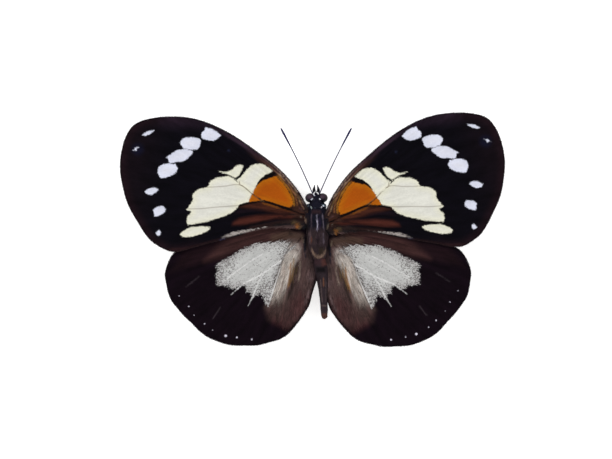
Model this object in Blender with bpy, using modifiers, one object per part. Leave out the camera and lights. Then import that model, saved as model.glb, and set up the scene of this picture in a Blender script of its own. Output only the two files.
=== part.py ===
"""Euxanthe trajanus, a large African butterfly, spread and standing on its legs.

The body lies along Y with the head at +Y, the wings spread towards -X and +X,
and the feet stand on the plane z = 0. Sizes in the tables are millimetres.
"""
import math

import bmesh
import bpy
from mathutils import Vector
from mathutils.geometry import delaunay_2d_cdt, interpolate_bezier

MM = 0.001
GAP = 0.3
SUFFIX = {-1: "_l", 1: "_r"}
BEZIER_POINTS = 13
TUBE_CORNERS = 2

# Wings: flat outlines and veins, x outwards from the body's axis, y forwards.
MEMBRANE = 0.5
VEIN = 0.85
VEIN_HALF_WIDTH = 0.42
VEIN_STEP = 1.8
VEIN_CLEARANCE = 0.34
VEIN_JOIN = 1.3
EDGE_STEP = 1.6
FRONT_EDGE_REACH = 0.85
SCALLOP_DEPTH = 0.35
SCALLOP_REACH = 2.5
FIELD_STEP = 3.1
FIELD_ROW_STEP = FIELD_STEP * math.sqrt(3) / 2
FIELD_CLEARANCE = 1.5
WING_POINT_SLACK = 0.05
SHOULDER_HEIGHT = 8.9
LAYER = 1.2
ARCH_RISE = 1.2
ARCH_MIDDLE = 20.0
CHORD_FALL = 1.5
CHORD_REACH = 30.0

FOREWING_EDGE = [
    (1.2, 5.0), (2.5, 6.2), (4.3, 9.3), (8.4, 14.0), (13.4, 17.9), (19.1, 21.8), (24.3, 24.4),
    (28.8, 25.7), (33.3, 26.0), (37.9, 25.5), (41.3, 24.2), (43.1, 21.8), (44.2, 18.4),
    (44.6, 14.4), (44.1, 10.6), (43.0, 6.5), (41.0, 2.7), (38.2, -1.5), (35.5, -3.5),
    (32.5, -4.5), (26.5, -3.0), (20.2, -1.4), (12.5, 0.6), (6.6, 1.2), (1.2, 1.4),
]
FOREWING_VEINS = [
    # Subcosta and first radial, along the front edge.
    [(2.0, 5.0), (4.8, 8.6), (7.9, 12.0), (12.0, 15.6), (16.3, 18.8), (20.0, 20.9)],
    [(2.0, 4.5), (4.7, 6.9), (7.4, 9.3), (10.5, 12.4), (13.3, 14.9), (18.0, 18.3), (23.1, 21.6),
     (28.8, 23.9), (34.5, 24.9)],
    # The rest of the radial, from the cell to the wing tip.
    [(10.5, 12.4), (12.9, 13.4), (15.6, 15.0), (17.9, 16.6), (20.9, 18.6), (26.4, 20.9), (34.5, 22.6),
     (42.2, 22.3)],
    # Cubitus, the rear side of the cell, with the third median behind the cell's end.
    [(1.6, 3.5), (3.9, 4.0), (5.7, 5.0), (7.9, 5.5), (10.2, 6.4), (12.5, 7.0), (14.7, 8.4), (17.7, 10.6),
     (21.2, 10.3), (24.7, 10.1), (31.1, 10.3), (37.9, 10.9), (43.5, 11.0)],
    # The cell's end, from the third median to the radial.
    [(17.7, 10.6), (17.9, 12.2), (16.9, 13.6), (15.6, 15.0)],
    [(16.9, 13.6), (20.2, 15.3), (23.1, 16.7), (29.5, 18.6), (37.0, 19.3), (43.5, 18.6)],
    [(17.9, 12.2), (22.7, 13.7), (28.8, 14.8), (33.4, 15.4), (39.0, 15.4), (43.9, 15.0)],
    [(12.5, 7.0), (15.6, 6.6), (18.1, 6.0), (22.9, 5.6), (27.7, 5.2), (32.2, 5.4), (37.2, 6.0), (42.1, 6.8)],
    [(7.9, 5.5), (10.7, 4.8), (15.2, 4.2), (19.3, 3.4), (23.1, 2.6), (26.5, 1.9), (31.0, 1.4), (39.6, 1.4)],
    # The anal vein, along the rear edge.
    [(1.6, 2.8), (3.9, 3.0), (6.7, 3.1), (9.5, 2.8), (12.5, 2.2), (19.3, 0.6), (26.0, -1.2), (34.3, -3.5)],
]

HINDWING_EDGE = [
    (1.0, 0.7), (5.0, 2.1), (8.4, 2.8), (12.5, 2.9), (17.5, 2.2), (23.1, 0.7), (27.7, -1.5),
    (30.6, -3.3), (32.3, -4.5), (33.7, -6.8), (34.4, -9.9), (33.8, -12.8), (32.9, -15.4),
    (31.1, -17.6), (28.8, -20.0), (26.5, -22.2), (23.6, -24.1), (20.5, -25.1), (16.8, -25.5),
    (12.8, -25.2), (9.5, -24.3), (6.8, -22.9), (4.5, -20.4), (2.9, -18.2), (1.7, -16.3),
    (1.0, -13.8), (0.5, -12.2), (-0.1, -10.6), (-0.1, -8.1), (0.3, -5.9), (0.6, -3.6), (0.8, -1.4),
]
HINDWING_VEINS = [
    # Front edge vein, under the forewing.
    [(1.4, -0.6), (3.9, -0.2), (6.6, 0.9), (10.7, 1.5), (16.3, 0.8), (23.1, -1.3), (28.3, -3.6), (32.9, -6.6)],
    # Radial, with the first median.
    [(1.6, -1.4), (3.9, -1.3), (6.6, -1.0), (10.7, -1.7), (14.1, -3.1), (19.7, -4.5), (26.5, -6.4),
     (33.7, -8.9)],
    [(14.1, -3.1), (17.9, -5.7), (23.1, -8.3), (28.3, -11.0), (33.1, -13.2)],
    # Cubitus and third median, the rear side of the cell.
    [(1.8, -2.0), (3.9, -2.5), (5.4, -3.4), (7.7, -4.7), (10.2, -6.3), (12.2, -8.1), (15.2, -11.0),
     (18.4, -13.5), (21.8, -16.7), (23.8, -19.8), (25.4, -22.2)],
    [(14.1, -3.1), (15.3, -6.2), (18.6, -9.2), (23.6, -13.0), (29.7, -18.3)],
    [(12.2, -8.1), (13.6, -12.2), (15.5, -16.2), (17.5, -20.2), (19.2, -24.7)],
    [(7.7, -4.7), (8.6, -9.2), (10.9, -15.8), (12.5, -20.2), (13.3, -24.7)],
    # The two veins of the inner margin.
    [(1.6, -2.8), (4.2, -3.9), (5.7, -6.8), (6.8, -11.9), (7.5, -17.1), (8.1, -20.9), (8.3, -23.2)],
    [(1.9, -4.2), (2.7, -6.8), (3.4, -11.9), (3.7, -15.8), (3.8, -18.6)],
]

# Where the hindwing's margin stands out, at the ends of its veins.
HINDWING_POINTS = [
    (34.0, -8.9), (33.7, -13.3), (30.2, -18.7), (25.7, -22.7), (19.3, -25.3), (13.3, -25.3), (8.4, -23.9),
]

# Each wing: side, layer above or below the shoulder plane, sweep in degrees, size, shift.
WING_PLACES = {
    "forewing_l": (-1, 0.5, 0.0, 1.0, (0.0, 0.0)),
    "forewing_r": (1, 0.5, 4.7, 0.99, (0.2, -1.5)),
    "hindwing_l": (-1, -0.5, 0.0, 1.0, (0.0, 0.0)),
    "hindwing_r": (1, -0.5, 2.9, 1.0, (0.5, -1.1)),
}
# Dihedral and twist of each side's pair of wings, in degrees.
SIDE_TILT = {-1: (7.0, 0.0), 1: (10.5, 4.0)}

# Body rows: y, x of the middle, height of the middle, half width, half height.
THORAX_ROWS = [
    (6.15, -0.05, 7.95, 1.45, 1.35),
    (5.3, 0.0, 7.85, 2.1, 2.1),
    (3.9, 0.05, 7.65, 2.45, 2.65),
    (1.6, 0.1, 7.5, 2.7, 3.0),
    (-1.4, 0.15, 7.45, 2.7, 3.05),
    (-3.9, 0.3, 7.5, 2.25, 2.6),
    (-5.2, 0.45, 7.6, 1.75, 2.0),
    (-5.85, 0.5, 7.65, 1.35, 1.5),
]
THORAX_RINGS = 15
THORAX_SIDES = 24
THORAX_POWER = 2.3

ABDOMEN_ROWS = [
    (-6.15, 0.55, 7.65, 1.35, 1.45),
    (-7.4, 0.8, 7.65, 1.65, 1.75),
    (-9.6, 1.15, 7.5, 1.6, 1.75),
    (-11.9, 1.4, 7.3, 1.28, 1.5),
    (-14.3, 1.5, 7.05, 1.02, 1.25),
    (-16.6, 1.6, 6.8, 0.93, 1.1),
    (-18.4, 1.65, 6.6, 0.85, 0.95),
    (-19.6, 1.68, 6.5, 0.3, 0.35),
]
ABDOMEN_SIDES = 20
ABDOMEN_POWER = 2.0
ABDOMEN_SEGMENTS = 8
SEGMENT_STEP = 0.05
SEGMENT_SEAM = 0.14

HEAD_X = -0.13
HEAD_CENTRE = (HEAD_X, 7.6, 8.0)
HEAD_RADII = (1.05, 1.7, 1.55)
HEAD_GRID = (24, 14)
EYE_SPREAD = 1.4
EYE_RADII = (1.13, 1.08, 1.3)
EYE_GRID = (20, 14)
EYE_DROP = 0.05
EYE_Y = 7.54

ANTENNA_BASE = (0.85, 8.6, 8.5)
ANTENNA_TIP = (7.88, 23.15, 12.2)
ANTENNA_BOW = 0.25
ANTENNA_RADII = [(0.0, 0.3), (0.05, 0.25), (0.72, 0.26), (0.82, 0.36), (0.93, 0.42), (0.985, 0.3), (1.0, 0.12)]
ANTENNA_POINTS = 16

PALP_POINTS = [(0.72, 8.2, 7.0), (0.72, 9.2, 6.95), (0.6, 9.85, 7.4), (0.42, 10.2, 8.2), (0.3, 10.44, 9.1)]
PALP_RADII = [0.3, 0.34, 0.36, 0.3, 0.1]
PALP_STEP = 0.55

COIL_CENTRE = (9.1, 5.95)
COIL_OUTER = 1.0
COIL_INNER = 0.32
COIL_TURNS = 1.45
COIL_START = 140.0
COIL_RADIUS = 0.2
COIL_POINTS = 26
COIL_ROOT = (7.8, 7.35)

# Walking legs: hip, knee, ankle and toe of the right side.
WALKING_LEGS = {
    "midleg": [(1.2, 1.2, 5.6), (5.3, 3.6, 6.4), (7.6, 5.8, 1.1), (10.0, 8.0, 0.2)],
    "hindleg": [(1.2, -3.2, 5.8), (4.9, -6.6, 6.3), (6.5, -10.4, 1.1), (7.4, -13.9, 0.2)],
}
# The short front legs, folded under the chest, from the hip to the tip.
FORELEG = [(0.7, 4.2, 5.7), (1.3, 5.0, 4.3), (1.5, 6.6, 4.5), (1.25, 5.9, 3.7)]
FORELEG_STEP = 0.7
FORELEG_RADII = [(0.0, 0.34), (1.0, 0.14)]
FEMUR_RADII = [(0.0, 0.42), (0.25, 0.5), (0.7, 0.42), (0.95, 0.34)]
TIBIA_RADII = [(0.05, 0.34), (0.35, 0.36), (0.8, 0.32), (0.97, 0.36)]
TARSUS_JOINTS = 5
TARSUS_HEEL = 0.12
TARSUS_BULGE = 0.7
TARSUS_WAIST = 0.27
TARSUS_SWELL = 0.33
CLAW_RADIUS = 0.12

COLOURS = {
    "scales_dark": ((0.008, 0.005, 0.008), 0.65),
    "scales_brown": ((0.03, 0.015, 0.015), 0.7),
    "hair_brown": ((0.05, 0.028, 0.02), 0.85),
    "hair_black": ((0.012, 0.01, 0.016), 0.8),
    "eye": ((0.03, 0.012, 0.012), 0.2),
    "chitin": ((0.02, 0.014, 0.014), 0.45),
}


def clear_scene():
    """Remove every object, so that each run starts from nothing."""
    for item in list(bpy.data.objects):
        bpy.data.objects.remove(item, do_unlink=True)


def new_collection(name):
    collection = bpy.data.collections.new(name)
    bpy.context.scene.collection.children.link(collection)
    return collection


def new_material(name, look):
    """A Principled material of one of the named colours."""
    colour, roughness = COLOURS[look]
    material = bpy.data.materials.new(name)
    material.use_nodes = True
    shader = material.node_tree.nodes["Principled BSDF"]
    shader.inputs["Base Color"].default_value = (*colour, 1.0)
    shader.inputs["Roughness"].default_value = roughness
    shader.inputs["Metallic"].default_value = 0.0
    return material


def add_object(name, mesh, collection, look):
    """Link a mesh to the scene as one named piece."""
    piece = bpy.data.objects.new(name, mesh)
    collection.objects.link(piece)
    if look:
        mesh.materials.append(new_material(name, look))
        for polygon in mesh.polygons:
            polygon.use_smooth = True
    else:
        piece.hide_render = True
        piece.display_type = "WIRE"
    return piece


def mesh_from(shape, name):
    """Turn a bmesh into a mesh with its faces pointing out."""
    bmesh.ops.recalc_face_normals(shape, faces=shape.faces)
    mesh = bpy.data.meshes.new(name)
    shape.to_mesh(mesh)
    shape.free()
    return mesh


def trim(piece, cutters):
    """Cut a piece clear of what it grows from."""
    for cutter in cutters:
        cut = piece.modifiers.new("clear of " + cutter.name, "BOOLEAN")
        cut.operation = "DIFFERENCE"
        cut.solver = "EXACT"
        cut.object = cutter


def even_points(line, step):
    """Points at an even spacing along a line, both ends kept."""
    length = sum((b - a).length for a, b in zip(line, line[1:]))
    count = max(1, round(length / step))
    points = [line[0]]
    walked = 0.0
    for a, b in zip(line, line[1:]):
        stretch = (b - a).length
        while stretch > 0 and len(points) < count and walked + stretch >= len(points) * length / count:
            part = (len(points) * length / count - walked) / stretch
            points.append(a.lerp(b, part))
        walked += stretch
    return points + [line[-1]]


def smooth_path(knots, step):
    """A smooth curve through the knots, as points about one step apart."""
    knots = [Vector(knot).to_3d() for knot in knots]
    lean = []
    for i, knot in enumerate(knots):
        before = knots[max(i - 1, 0)]
        after = knots[min(i + 1, len(knots) - 1)]
        lean.append((after - before).normalized())
    line = [knots[0]]
    for i, (start, end) in enumerate(zip(knots, knots[1:])):
        reach = (end - start).length / 3
        handles = (start + lean[i] * reach, end - lean[i + 1] * reach)
        stretch = interpolate_bezier(start, *handles, end, BEZIER_POINTS)
        line += stretch[1:]
    return even_points(line, step)


def row_between(rows, place):
    """The row at a fractional place in a table, on a smooth curve through all rows."""
    i = min(int(place), len(rows) - 2)
    t = place - i
    before = rows[max(i - 1, 0)]
    after = rows[min(i + 2, len(rows) - 1)]
    values = []
    for a, b, c, d in zip(before, rows[i], rows[i + 1], after):
        values.append(b + 0.5 * t * (c - a + t * (2 * a - 5 * b + 4 * c - d + t * (3 * (b - c) + d - a))))
    return values


def loft(name, rings, sides, power):
    """A closed body through rings of (y, x, height, half width, half height)."""
    shape = bmesh.new()
    loops = []
    for y, x, height, half_width, half_height in rings:
        loop = []
        for k in range(sides):
            angle = 2 * math.pi * (k + 0.5) / sides
            across = math.copysign(abs(math.cos(angle)) ** (2 / power), math.cos(angle))
            up = math.copysign(abs(math.sin(angle)) ** (2 / power), math.sin(angle))
            corner = Vector((x + half_width * across, y, height + half_height * up))
            loop.append(shape.verts.new(corner * MM))
        loops.append(loop)
    for first, second in zip(loops, loops[1:]):
        for k in range(sides):
            n = (k + 1) % sides
            shape.faces.new((first[k], first[n], second[n], second[k]))
    shape.faces.new(loops[0])
    shape.faces.new(loops[-1])
    return mesh_from(shape, name)


def swollen(rings):
    """The same rings, one gap larger on every side and at both ends."""
    grown = [[y, x, height, wide + GAP, high + GAP] for y, x, height, wide, high in rings]
    grown[0][0] += GAP
    grown[-1][0] -= GAP
    return grown


def ellipsoid(name, radii, grid):
    shape = bmesh.new()
    bmesh.ops.create_uvsphere(shape, u_segments=grid[0], v_segments=grid[1], radius=MM)
    bmesh.ops.scale(shape, vec=radii, verts=shape.verts)
    return mesh_from(shape, name)


def tube(name, points, radii):
    """A round closed tube along the points, with a radius at each."""
    curve = bpy.data.curves.new(name, "CURVE")
    curve.dimensions = "3D"
    curve.bevel_depth = MM
    curve.bevel_resolution = TUBE_CORNERS
    curve.use_fill_caps = True
    spline = curve.splines.new("POLY")
    spline.points.add(len(points) - 1)
    for knot, place, radius in zip(spline.points, points, radii):
        knot.co = (*(Vector(place) * MM), 1.0)
        knot.radius = radius
    wire = bpy.data.objects.new(name, curve)
    bpy.context.scene.collection.objects.link(wire)
    bpy.context.view_layer.update()
    solid = bpy.data.meshes.new_from_object(wire.evaluated_get(bpy.context.evaluated_depsgraph_get()))
    bpy.data.objects.remove(wire, do_unlink=True)
    bpy.data.curves.remove(curve)
    shape = bmesh.new()
    shape.from_mesh(solid)
    bpy.data.meshes.remove(solid)
    bmesh.ops.remove_doubles(shape, verts=shape.verts, dist=0.001 * MM)
    return shape


def distance_to_line(point, line):
    """Distance from a flat point to the nearest place on a polyline."""
    nearest = math.inf
    for a, b in zip(line, line[1:]):
        along = b - a
        part = max(0.0, min(1.0, (point - a).dot(along) / along.length_squared))
        nearest = min(nearest, (point - a - along * part).length)
    return nearest


def inside(point, outline):
    """Whether a flat point lies inside a closed outline."""
    crossings = 0
    for a, b in zip(outline, outline[1:] + outline[:1]):
        if (a.y > point.y) != (b.y > point.y):
            if point.x < a.x + (point.y - a.y) / (b.y - a.y) * (b.x - a.x):
                crossings += 1
    return crossings % 2 == 1


def vein_lines(veins):
    """The veins' middle lines, each branch starting on a point of the vein that it leaves."""
    lines = []
    for vein in veins:
        line = [point.to_2d() for point in smooth_path(vein, VEIN_STEP)]
        earlier = [point for other in lines for point in other]
        for end in (0, -1):
            near = [point for point in earlier if (point - line[end]).length < VEIN_JOIN]
            if near:
                line[end] = min(near, key=lambda point: (point - line[end]).length)
        lines.append(line)
    return lines


def vein_borders(line, lines, outline):
    """Runs of points on both sides of a vein, where its ridge meets the membrane."""
    others = [other for other in lines if other is not line] + [outline + outline[:1]]
    runs = []
    for hand in (-1, 1):
        run = []
        for i, point in enumerate(line):
            before = line[max(i - 1, 0)]
            after = line[min(i + 1, len(line) - 1)]
            along = (after - before).normalized()
            place = point + Vector((-along.y, along.x)) * VEIN_HALF_WIDTH * hand
            clear = all(distance_to_line(place, other) > VEIN_CLEARANCE for other in others)
            if clear and inside(place, outline):
                run.append(place)
            elif run:
                runs.append(run)
                run = []
        if run:
            runs.append(run)
    return runs


def wing_field(outline, lines):
    """Places for the membrane's own points, clear of the edge and the veins."""
    places = []
    low_x = min(point.x for point in outline)
    high_x = max(point.x for point in outline)
    low_y = min(point.y for point in outline)
    high_y = max(point.y for point in outline)
    rows = int((high_y - low_y) / FIELD_ROW_STEP) + 1
    columns = int((high_x - low_x) / FIELD_STEP) + 1
    for row in range(rows):
        for column in range(columns):
            x = low_x + (column + 0.5 * (row % 2)) * FIELD_STEP
            point = Vector((x, low_y + row * FIELD_ROW_STEP))
            if not inside(point, outline):
                continue
            if all(distance_to_line(point, line) > FIELD_CLEARANCE for line in lines):
                places.append(point)
    return places


def scalloped(point, tips):
    """A margin point drawn in between the two tips that it lies between."""
    for a, b in zip(tips, tips[1:]):
        a, b = Vector(a), Vector(b)
        chord = b - a
        part = (point - a).dot(chord) / chord.length_squared
        inwards = Vector((chord.y, -chord.x)).normalized()
        if 0.0 < part < 1.0 and abs((point - a).dot(inwards)) < SCALLOP_REACH:
            return point + inwards * SCALLOP_DEPTH * math.sin(math.pi * part) ** 2
    return point


def wing_pattern(edge, veins, tips):
    """Triangulate a flat wing, with corners along its veins.

    Returns the flat points, the triangles and how much each point belongs to a vein.
    """
    outline = [scalloped(point.to_2d(), tips) for point in smooth_path(edge, EDGE_STEP)]
    points = list(outline)
    seams = [(i, (i + 1) % len(outline)) for i in range(len(outline))]
    max_x = max(point.x for point in outline)
    front = outline[:next(i for i, point in enumerate(outline) if point.x > FRONT_EDGE_REACH * max_x)]
    ridge = [1.0 - i / len(front) for i in range(len(front))] + [0.0] * (len(outline) - len(front))
    lines = vein_lines(veins)
    for line in lines:
        seams += [(len(points) + i, len(points) + i + 1) for i in range(len(line) - 1)]
        points += line
        ridge += [1.0] * len(line)
    for line in lines + [front]:
        for run in vein_borders(line, lines, outline):
            seams += [(len(points) + i, len(points) + i + 1) for i in range(len(run) - 1)]
            points += run
            ridge += [0.0] * len(run)
    field = wing_field(outline, lines + [outline + outline[:1]])
    points += field
    ridge += [0.0] * len(field)
    places, _, triangles, sources, _, _ = delaunay_2d_cdt(points, seams, [], 1, WING_POINT_SLACK)
    weights = [max((ridge[i] for i in source), default=0.0) for source in sources]
    return places, triangles, weights


def camber(x, y):
    """Height of the shared wing surface over the shoulder plane."""
    arch = ARCH_RISE * (1 - ((x - ARCH_MIDDLE) / ARCH_MIDDLE) ** 2)
    return arch - CHORD_FALL * (y / CHORD_REACH) ** 2


def add_wing(name, pattern, look, collection, cutters):
    """One wing: a thin shell over the shared surface, thicker along its veins."""
    side, layer, sweep, size, shift = WING_PLACES[name]
    dihedral, twist = SIDE_TILT[side]
    places, triangles, weights = pattern
    turn = math.radians(sweep)
    shape = bmesh.new()
    corners = []
    for place in places:
        x = size * (place.x * math.cos(turn) - place.y * math.sin(turn)) + shift[0]
        y = size * (place.x * math.sin(turn) + place.y * math.cos(turn)) + shift[1]
        corners.append(shape.verts.new(Vector((side * x, y, layer * LAYER + camber(x, y))) * MM))
    for triangle in triangles:
        shape.faces.new([corners[i] for i in triangle])
    bmesh.ops.recalc_face_normals(shape, faces=shape.faces)
    mesh = bpy.data.meshes.new(name)
    shape.to_mesh(mesh)
    shape.free()
    wing = add_object(name, mesh, collection, look)
    wing.location = (0.0, 0.0, SHOULDER_HEIGHT * MM)
    wing.rotation_euler = (math.radians(twist), -side * math.radians(dihedral), 0.0)
    group = wing.vertex_groups.new(name="vein")
    for i, weight in enumerate(weights):
        group.add([i], weight, "REPLACE")
    shell = wing.modifiers.new("membrane", "SOLIDIFY")
    shell.thickness = VEIN * MM
    shell.offset = 0.0
    shell.vertex_group = "vein"
    shell.thickness_vertex_group = MEMBRANE / VEIN
    trim(wing, cutters)


def abdomen_rings():
    """Rings of the abdomen, each segment overlapping the front of the next."""
    rings = []
    last = len(ABDOMEN_ROWS) - 1
    for segment in range(ABDOMEN_SEGMENTS):
        for part, swell in ((0.0, -1.0), (0.35, 0.0), (1.0, 1.0)):
            place = (segment + part) / ABDOMEN_SEGMENTS * last
            y, x, height, wide, high = row_between(ABDOMEN_ROWS, place)
            if part == 0.0 and segment > 0:
                y -= SEGMENT_SEAM
            if segment == ABDOMEN_SEGMENTS - 1:
                swell = min(swell, 0.0)
            rings.append([y, x, height, wide + swell * SEGMENT_STEP, high + swell * SEGMENT_STEP])
    return rings


def radius_along(table, part):
    """Radius at a part of the length, from a short table of (part, radius)."""
    for (start, first), (end, second) in zip(table, table[1:]):
        if part <= end:
            return first + (second - first) * (part - start) / (end - start)
    return table[-1][1]


def add_antenna(side, collection, cutters):
    base = Vector((HEAD_X + side * ANTENNA_BASE[0], *ANTENNA_BASE[1:]))
    tip = Vector((HEAD_X + side * ANTENNA_TIP[0], *ANTENNA_TIP[1:]))
    points = []
    radii = []
    for k in range(ANTENNA_POINTS):
        part = k / (ANTENNA_POINTS - 1)
        bow = Vector((side * ANTENNA_BOW * math.sin(math.pi * part), 0.0, 0.0))
        points.append(base.lerp(tip, part) - bow)
        radii.append(radius_along(ANTENNA_RADII, part))
    name = "antenna" + SUFFIX[side]
    feeler = add_object(name, mesh_from(tube(name, points, radii), name), collection, "hair_black")
    trim(feeler, cutters)


def add_palp(side, collection, cutters):
    points = smooth_path([(HEAD_X + side * x, y, z) for x, y, z in PALP_POINTS], PALP_STEP)
    last = len(points) - 1
    table = [(i / (len(PALP_RADII) - 1), radius) for i, radius in enumerate(PALP_RADII)]
    radii = [radius_along(table, i / last) for i in range(last + 1)]
    name = "palp" + SUFFIX[side]
    palp = add_object(name, mesh_from(tube(name, points, radii), name), collection, "hair_black")
    trim(palp, cutters)


def add_proboscis(collection, cutters):
    """The tongue, rolled up under the head like a watch spring."""
    points = [Vector((HEAD_X, *COIL_ROOT))]
    for k in range(COIL_POINTS):
        part = k / (COIL_POINTS - 1)
        angle = math.radians(COIL_START - 360.0 * COIL_TURNS * part)
        radius = COIL_OUTER + (COIL_INNER - COIL_OUTER) * part
        y = COIL_CENTRE[0] + radius * math.cos(angle)
        z = COIL_CENTRE[1] + radius * math.sin(angle)
        points.append(Vector((HEAD_X, y, z)))
    mesh = mesh_from(tube("proboscis", points, [COIL_RADIUS] * len(points)), "proboscis")
    tongue = add_object("proboscis", mesh, collection, "chitin")
    trim(tongue, cutters)


def walking_leg_line(hip, knee, ankle, toe):
    """Points and radii from the hip to the claws."""
    hip, knee, ankle, toe = Vector(hip), Vector(knee), Vector(ankle), Vector(toe)
    heel = Vector((ankle.x, ankle.y, toe.z)).lerp(toe, TARSUS_HEEL)
    line = [(hip.lerp(knee, part), radius) for part, radius in FEMUR_RADII]
    line += [(knee.lerp(ankle, part), radius) for part, radius in TIBIA_RADII]
    for joint in range(TARSUS_JOINTS):
        line.append((heel.lerp(toe, joint / TARSUS_JOINTS), TARSUS_WAIST))
        line.append((heel.lerp(toe, (joint + TARSUS_BULGE) / TARSUS_JOINTS), TARSUS_SWELL))
    line.append((toe, CLAW_RADIUS))
    return [point for point, _ in line], [radius for _, radius in line]


def add_leg(name, points, radii, side, collection, cutters):
    """One leg, with the underside of its foot cut flat at the ground."""
    placed = [Vector((side * point.x, point.y, point.z)) for point in points]
    shape = tube(name, placed, radii)
    everything = shape.verts[:] + shape.edges[:] + shape.faces[:]
    bmesh.ops.bisect_plane(shape, geom=everything, plane_co=(0, 0, 0), plane_no=(0, 0, -1), clear_outer=True)
    rim = [edge for edge in shape.edges if edge.is_boundary]
    bmesh.ops.holes_fill(shape, edges=rim, sides=0)
    leg = add_object(name, mesh_from(shape, name), collection, "chitin")
    trim(leg, cutters)


def world_bounds(pieces):
    """Lowest and highest corners of the evaluated pieces."""
    depsgraph = bpy.context.evaluated_depsgraph_get()
    corners = []
    for piece in pieces:
        seen = piece.evaluated_get(depsgraph)
        mesh = seen.to_mesh()
        corners += [seen.matrix_world @ vertex.co for vertex in mesh.vertices]
        seen.to_mesh_clear()
    low = Vector([min(corner[axis] for corner in corners) for axis in range(3)])
    high = Vector([max(corner[axis] for corner in corners) for axis in range(3)])
    return low, high


def add_thorax(collection, tools):
    """The middle body. Returns the room that its neighbours keep clear of."""
    last = len(THORAX_ROWS) - 1
    rings = [row_between(THORAX_ROWS, k * last / (THORAX_RINGS - 1)) for k in range(THORAX_RINGS)]
    mesh = loft("thorax", rings, THORAX_SIDES, THORAX_POWER)
    add_object("thorax", mesh, collection, "hair_brown")
    room = loft("thorax_room", swollen(rings), THORAX_SIDES, THORAX_POWER)
    return add_object("thorax_room", room, tools, None)


def add_abdomen(collection, tools):
    """The rear body. Returns the room that its neighbours keep clear of."""
    mesh = loft("abdomen", abdomen_rings(), ABDOMEN_SIDES, ABDOMEN_POWER)
    add_object("abdomen", mesh, collection, "hair_brown")
    room = loft("abdomen_room", swollen(ABDOMEN_ROWS), ABDOMEN_SIDES, ABDOMEN_POWER)
    return add_object("abdomen_room", room, tools, None)


def add_head(collection, tools, thorax_room):
    """The head with its two eyes. Returns the room that its neighbours keep clear of."""
    head = add_object("head", ellipsoid("head", HEAD_RADII, HEAD_GRID), collection, "hair_black")
    head.location = Vector(HEAD_CENTRE) * MM
    trim(head, [thorax_room])
    grown = [radius + GAP for radius in HEAD_RADII]
    room = add_object("head_room", ellipsoid("head_room", grown, HEAD_GRID), tools, None)
    room.location = head.location
    for side in (-1, 1):
        eye = add_object("eye" + SUFFIX[side], ellipsoid("eye", EYE_RADII, EYE_GRID), collection, "eye")
        eye.location = Vector((HEAD_X + side * EYE_SPREAD, EYE_Y, HEAD_CENTRE[2] - EYE_DROP)) * MM
        trim(eye, [room, thorax_room])
    return room


def add_legs(side, collection, thorax_room):
    for leg, joints in WALKING_LEGS.items():
        points, radii = walking_leg_line(*joints)
        add_leg(leg + SUFFIX[side], points, radii, side, collection, [thorax_room])
    points = smooth_path(FORELEG, FORELEG_STEP)
    radii = [radius_along(FORELEG_RADII, k / (len(points) - 1)) for k in range(len(points))]
    add_leg("foreleg" + SUFFIX[side], points, radii, side, collection, [thorax_room])


def centre_on_ground(pieces, tools):
    """Bring the middle of the whole box over the origin, with the feet at z = 0."""
    bpy.context.view_layer.update()
    low, high = world_bounds(pieces)
    frame = bpy.data.objects.new("frame", None)
    bpy.context.scene.collection.objects.link(frame)
    for piece in pieces + tools:
        piece.parent = frame
    frame.location = (-(low.x + high.x) / 2, -(low.y + high.y) / 2, -low.z)
    bpy.context.view_layer.update()


def main():
    clear_scene()
    butterfly = new_collection("euxanthe_trajanus")
    tools = new_collection("cutters")
    thorax_room = add_thorax(butterfly, tools)
    abdomen_room = add_abdomen(butterfly, tools)
    head_room = add_head(butterfly, tools, thorax_room)
    add_proboscis(butterfly, [head_room])
    forewing = wing_pattern(FOREWING_EDGE, FOREWING_VEINS, [])
    hindwing = wing_pattern(HINDWING_EDGE, HINDWING_VEINS, HINDWING_POINTS)
    for side in (-1, 1):
        add_antenna(side, butterfly, [head_room])
        add_palp(side, butterfly, [head_room])
        add_wing("forewing" + SUFFIX[side], forewing, "scales_dark", butterfly, [thorax_room])
        rooms = [thorax_room, abdomen_room]
        add_wing("hindwing" + SUFFIX[side], hindwing, "scales_brown", butterfly, rooms)
        add_legs(side, butterfly, thorax_room)
    centre_on_ground(list(butterfly.objects), list(tools.objects))


main()
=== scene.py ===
"""Looks of a spread Euxanthe trajanus, a large African butterfly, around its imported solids.

All tables are millimetres in the butterfly's own frame: x to its right, y towards the
head and z up from the ground. Wing tables are flat, x outwards from the body and y
forwards, and serve both sides. Colours are the ones seen, as six hex digits.
"""
import math

import bmesh
import bpy
import numpy as np
from mathutils import Euler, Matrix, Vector
from mathutils.geometry import delaunay_2d_cdt


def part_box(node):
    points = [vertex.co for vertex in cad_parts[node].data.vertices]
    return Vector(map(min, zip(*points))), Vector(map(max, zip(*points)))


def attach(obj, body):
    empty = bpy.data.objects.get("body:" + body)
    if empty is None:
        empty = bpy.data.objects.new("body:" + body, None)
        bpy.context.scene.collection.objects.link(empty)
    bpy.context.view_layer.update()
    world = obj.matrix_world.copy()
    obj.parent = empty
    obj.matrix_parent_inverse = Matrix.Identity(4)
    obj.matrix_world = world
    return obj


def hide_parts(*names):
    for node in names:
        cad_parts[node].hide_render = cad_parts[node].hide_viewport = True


MM = 0.001
SEED = 41
# How much brighter than its own colour a white surface is lit, seen from above.
LIGHT_LEVEL = 1.25
BEZIER_POINTS = 13
# Steps along painted strokes and along the lines of the markings.
STROKE_STEP = 0.4
LINE_STEP = 0.3
THREAD_HALF_WIDTH = 0.1

# Every tuft: stops along it and its width there, its bend, how deep it is rooted, how it
# settles, and its painted shade from root to tip: darker at the root, where tufts shade one
# another, and lighter at the tip as painted light.
TUFT_STOPS = (0.0, 0.4, 0.75)
TUFT_SHARES = (1.0, 0.85, 0.5)
TUFT_BEND = 0.12
TUFT_SUNK = 0.06
TUFT_SETTLING = 0.55
TUFT_PAINTED_SHADE = (0.72, 0.9, 1.05)
TIP_PAINTED_LIGHT = 1.2
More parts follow.
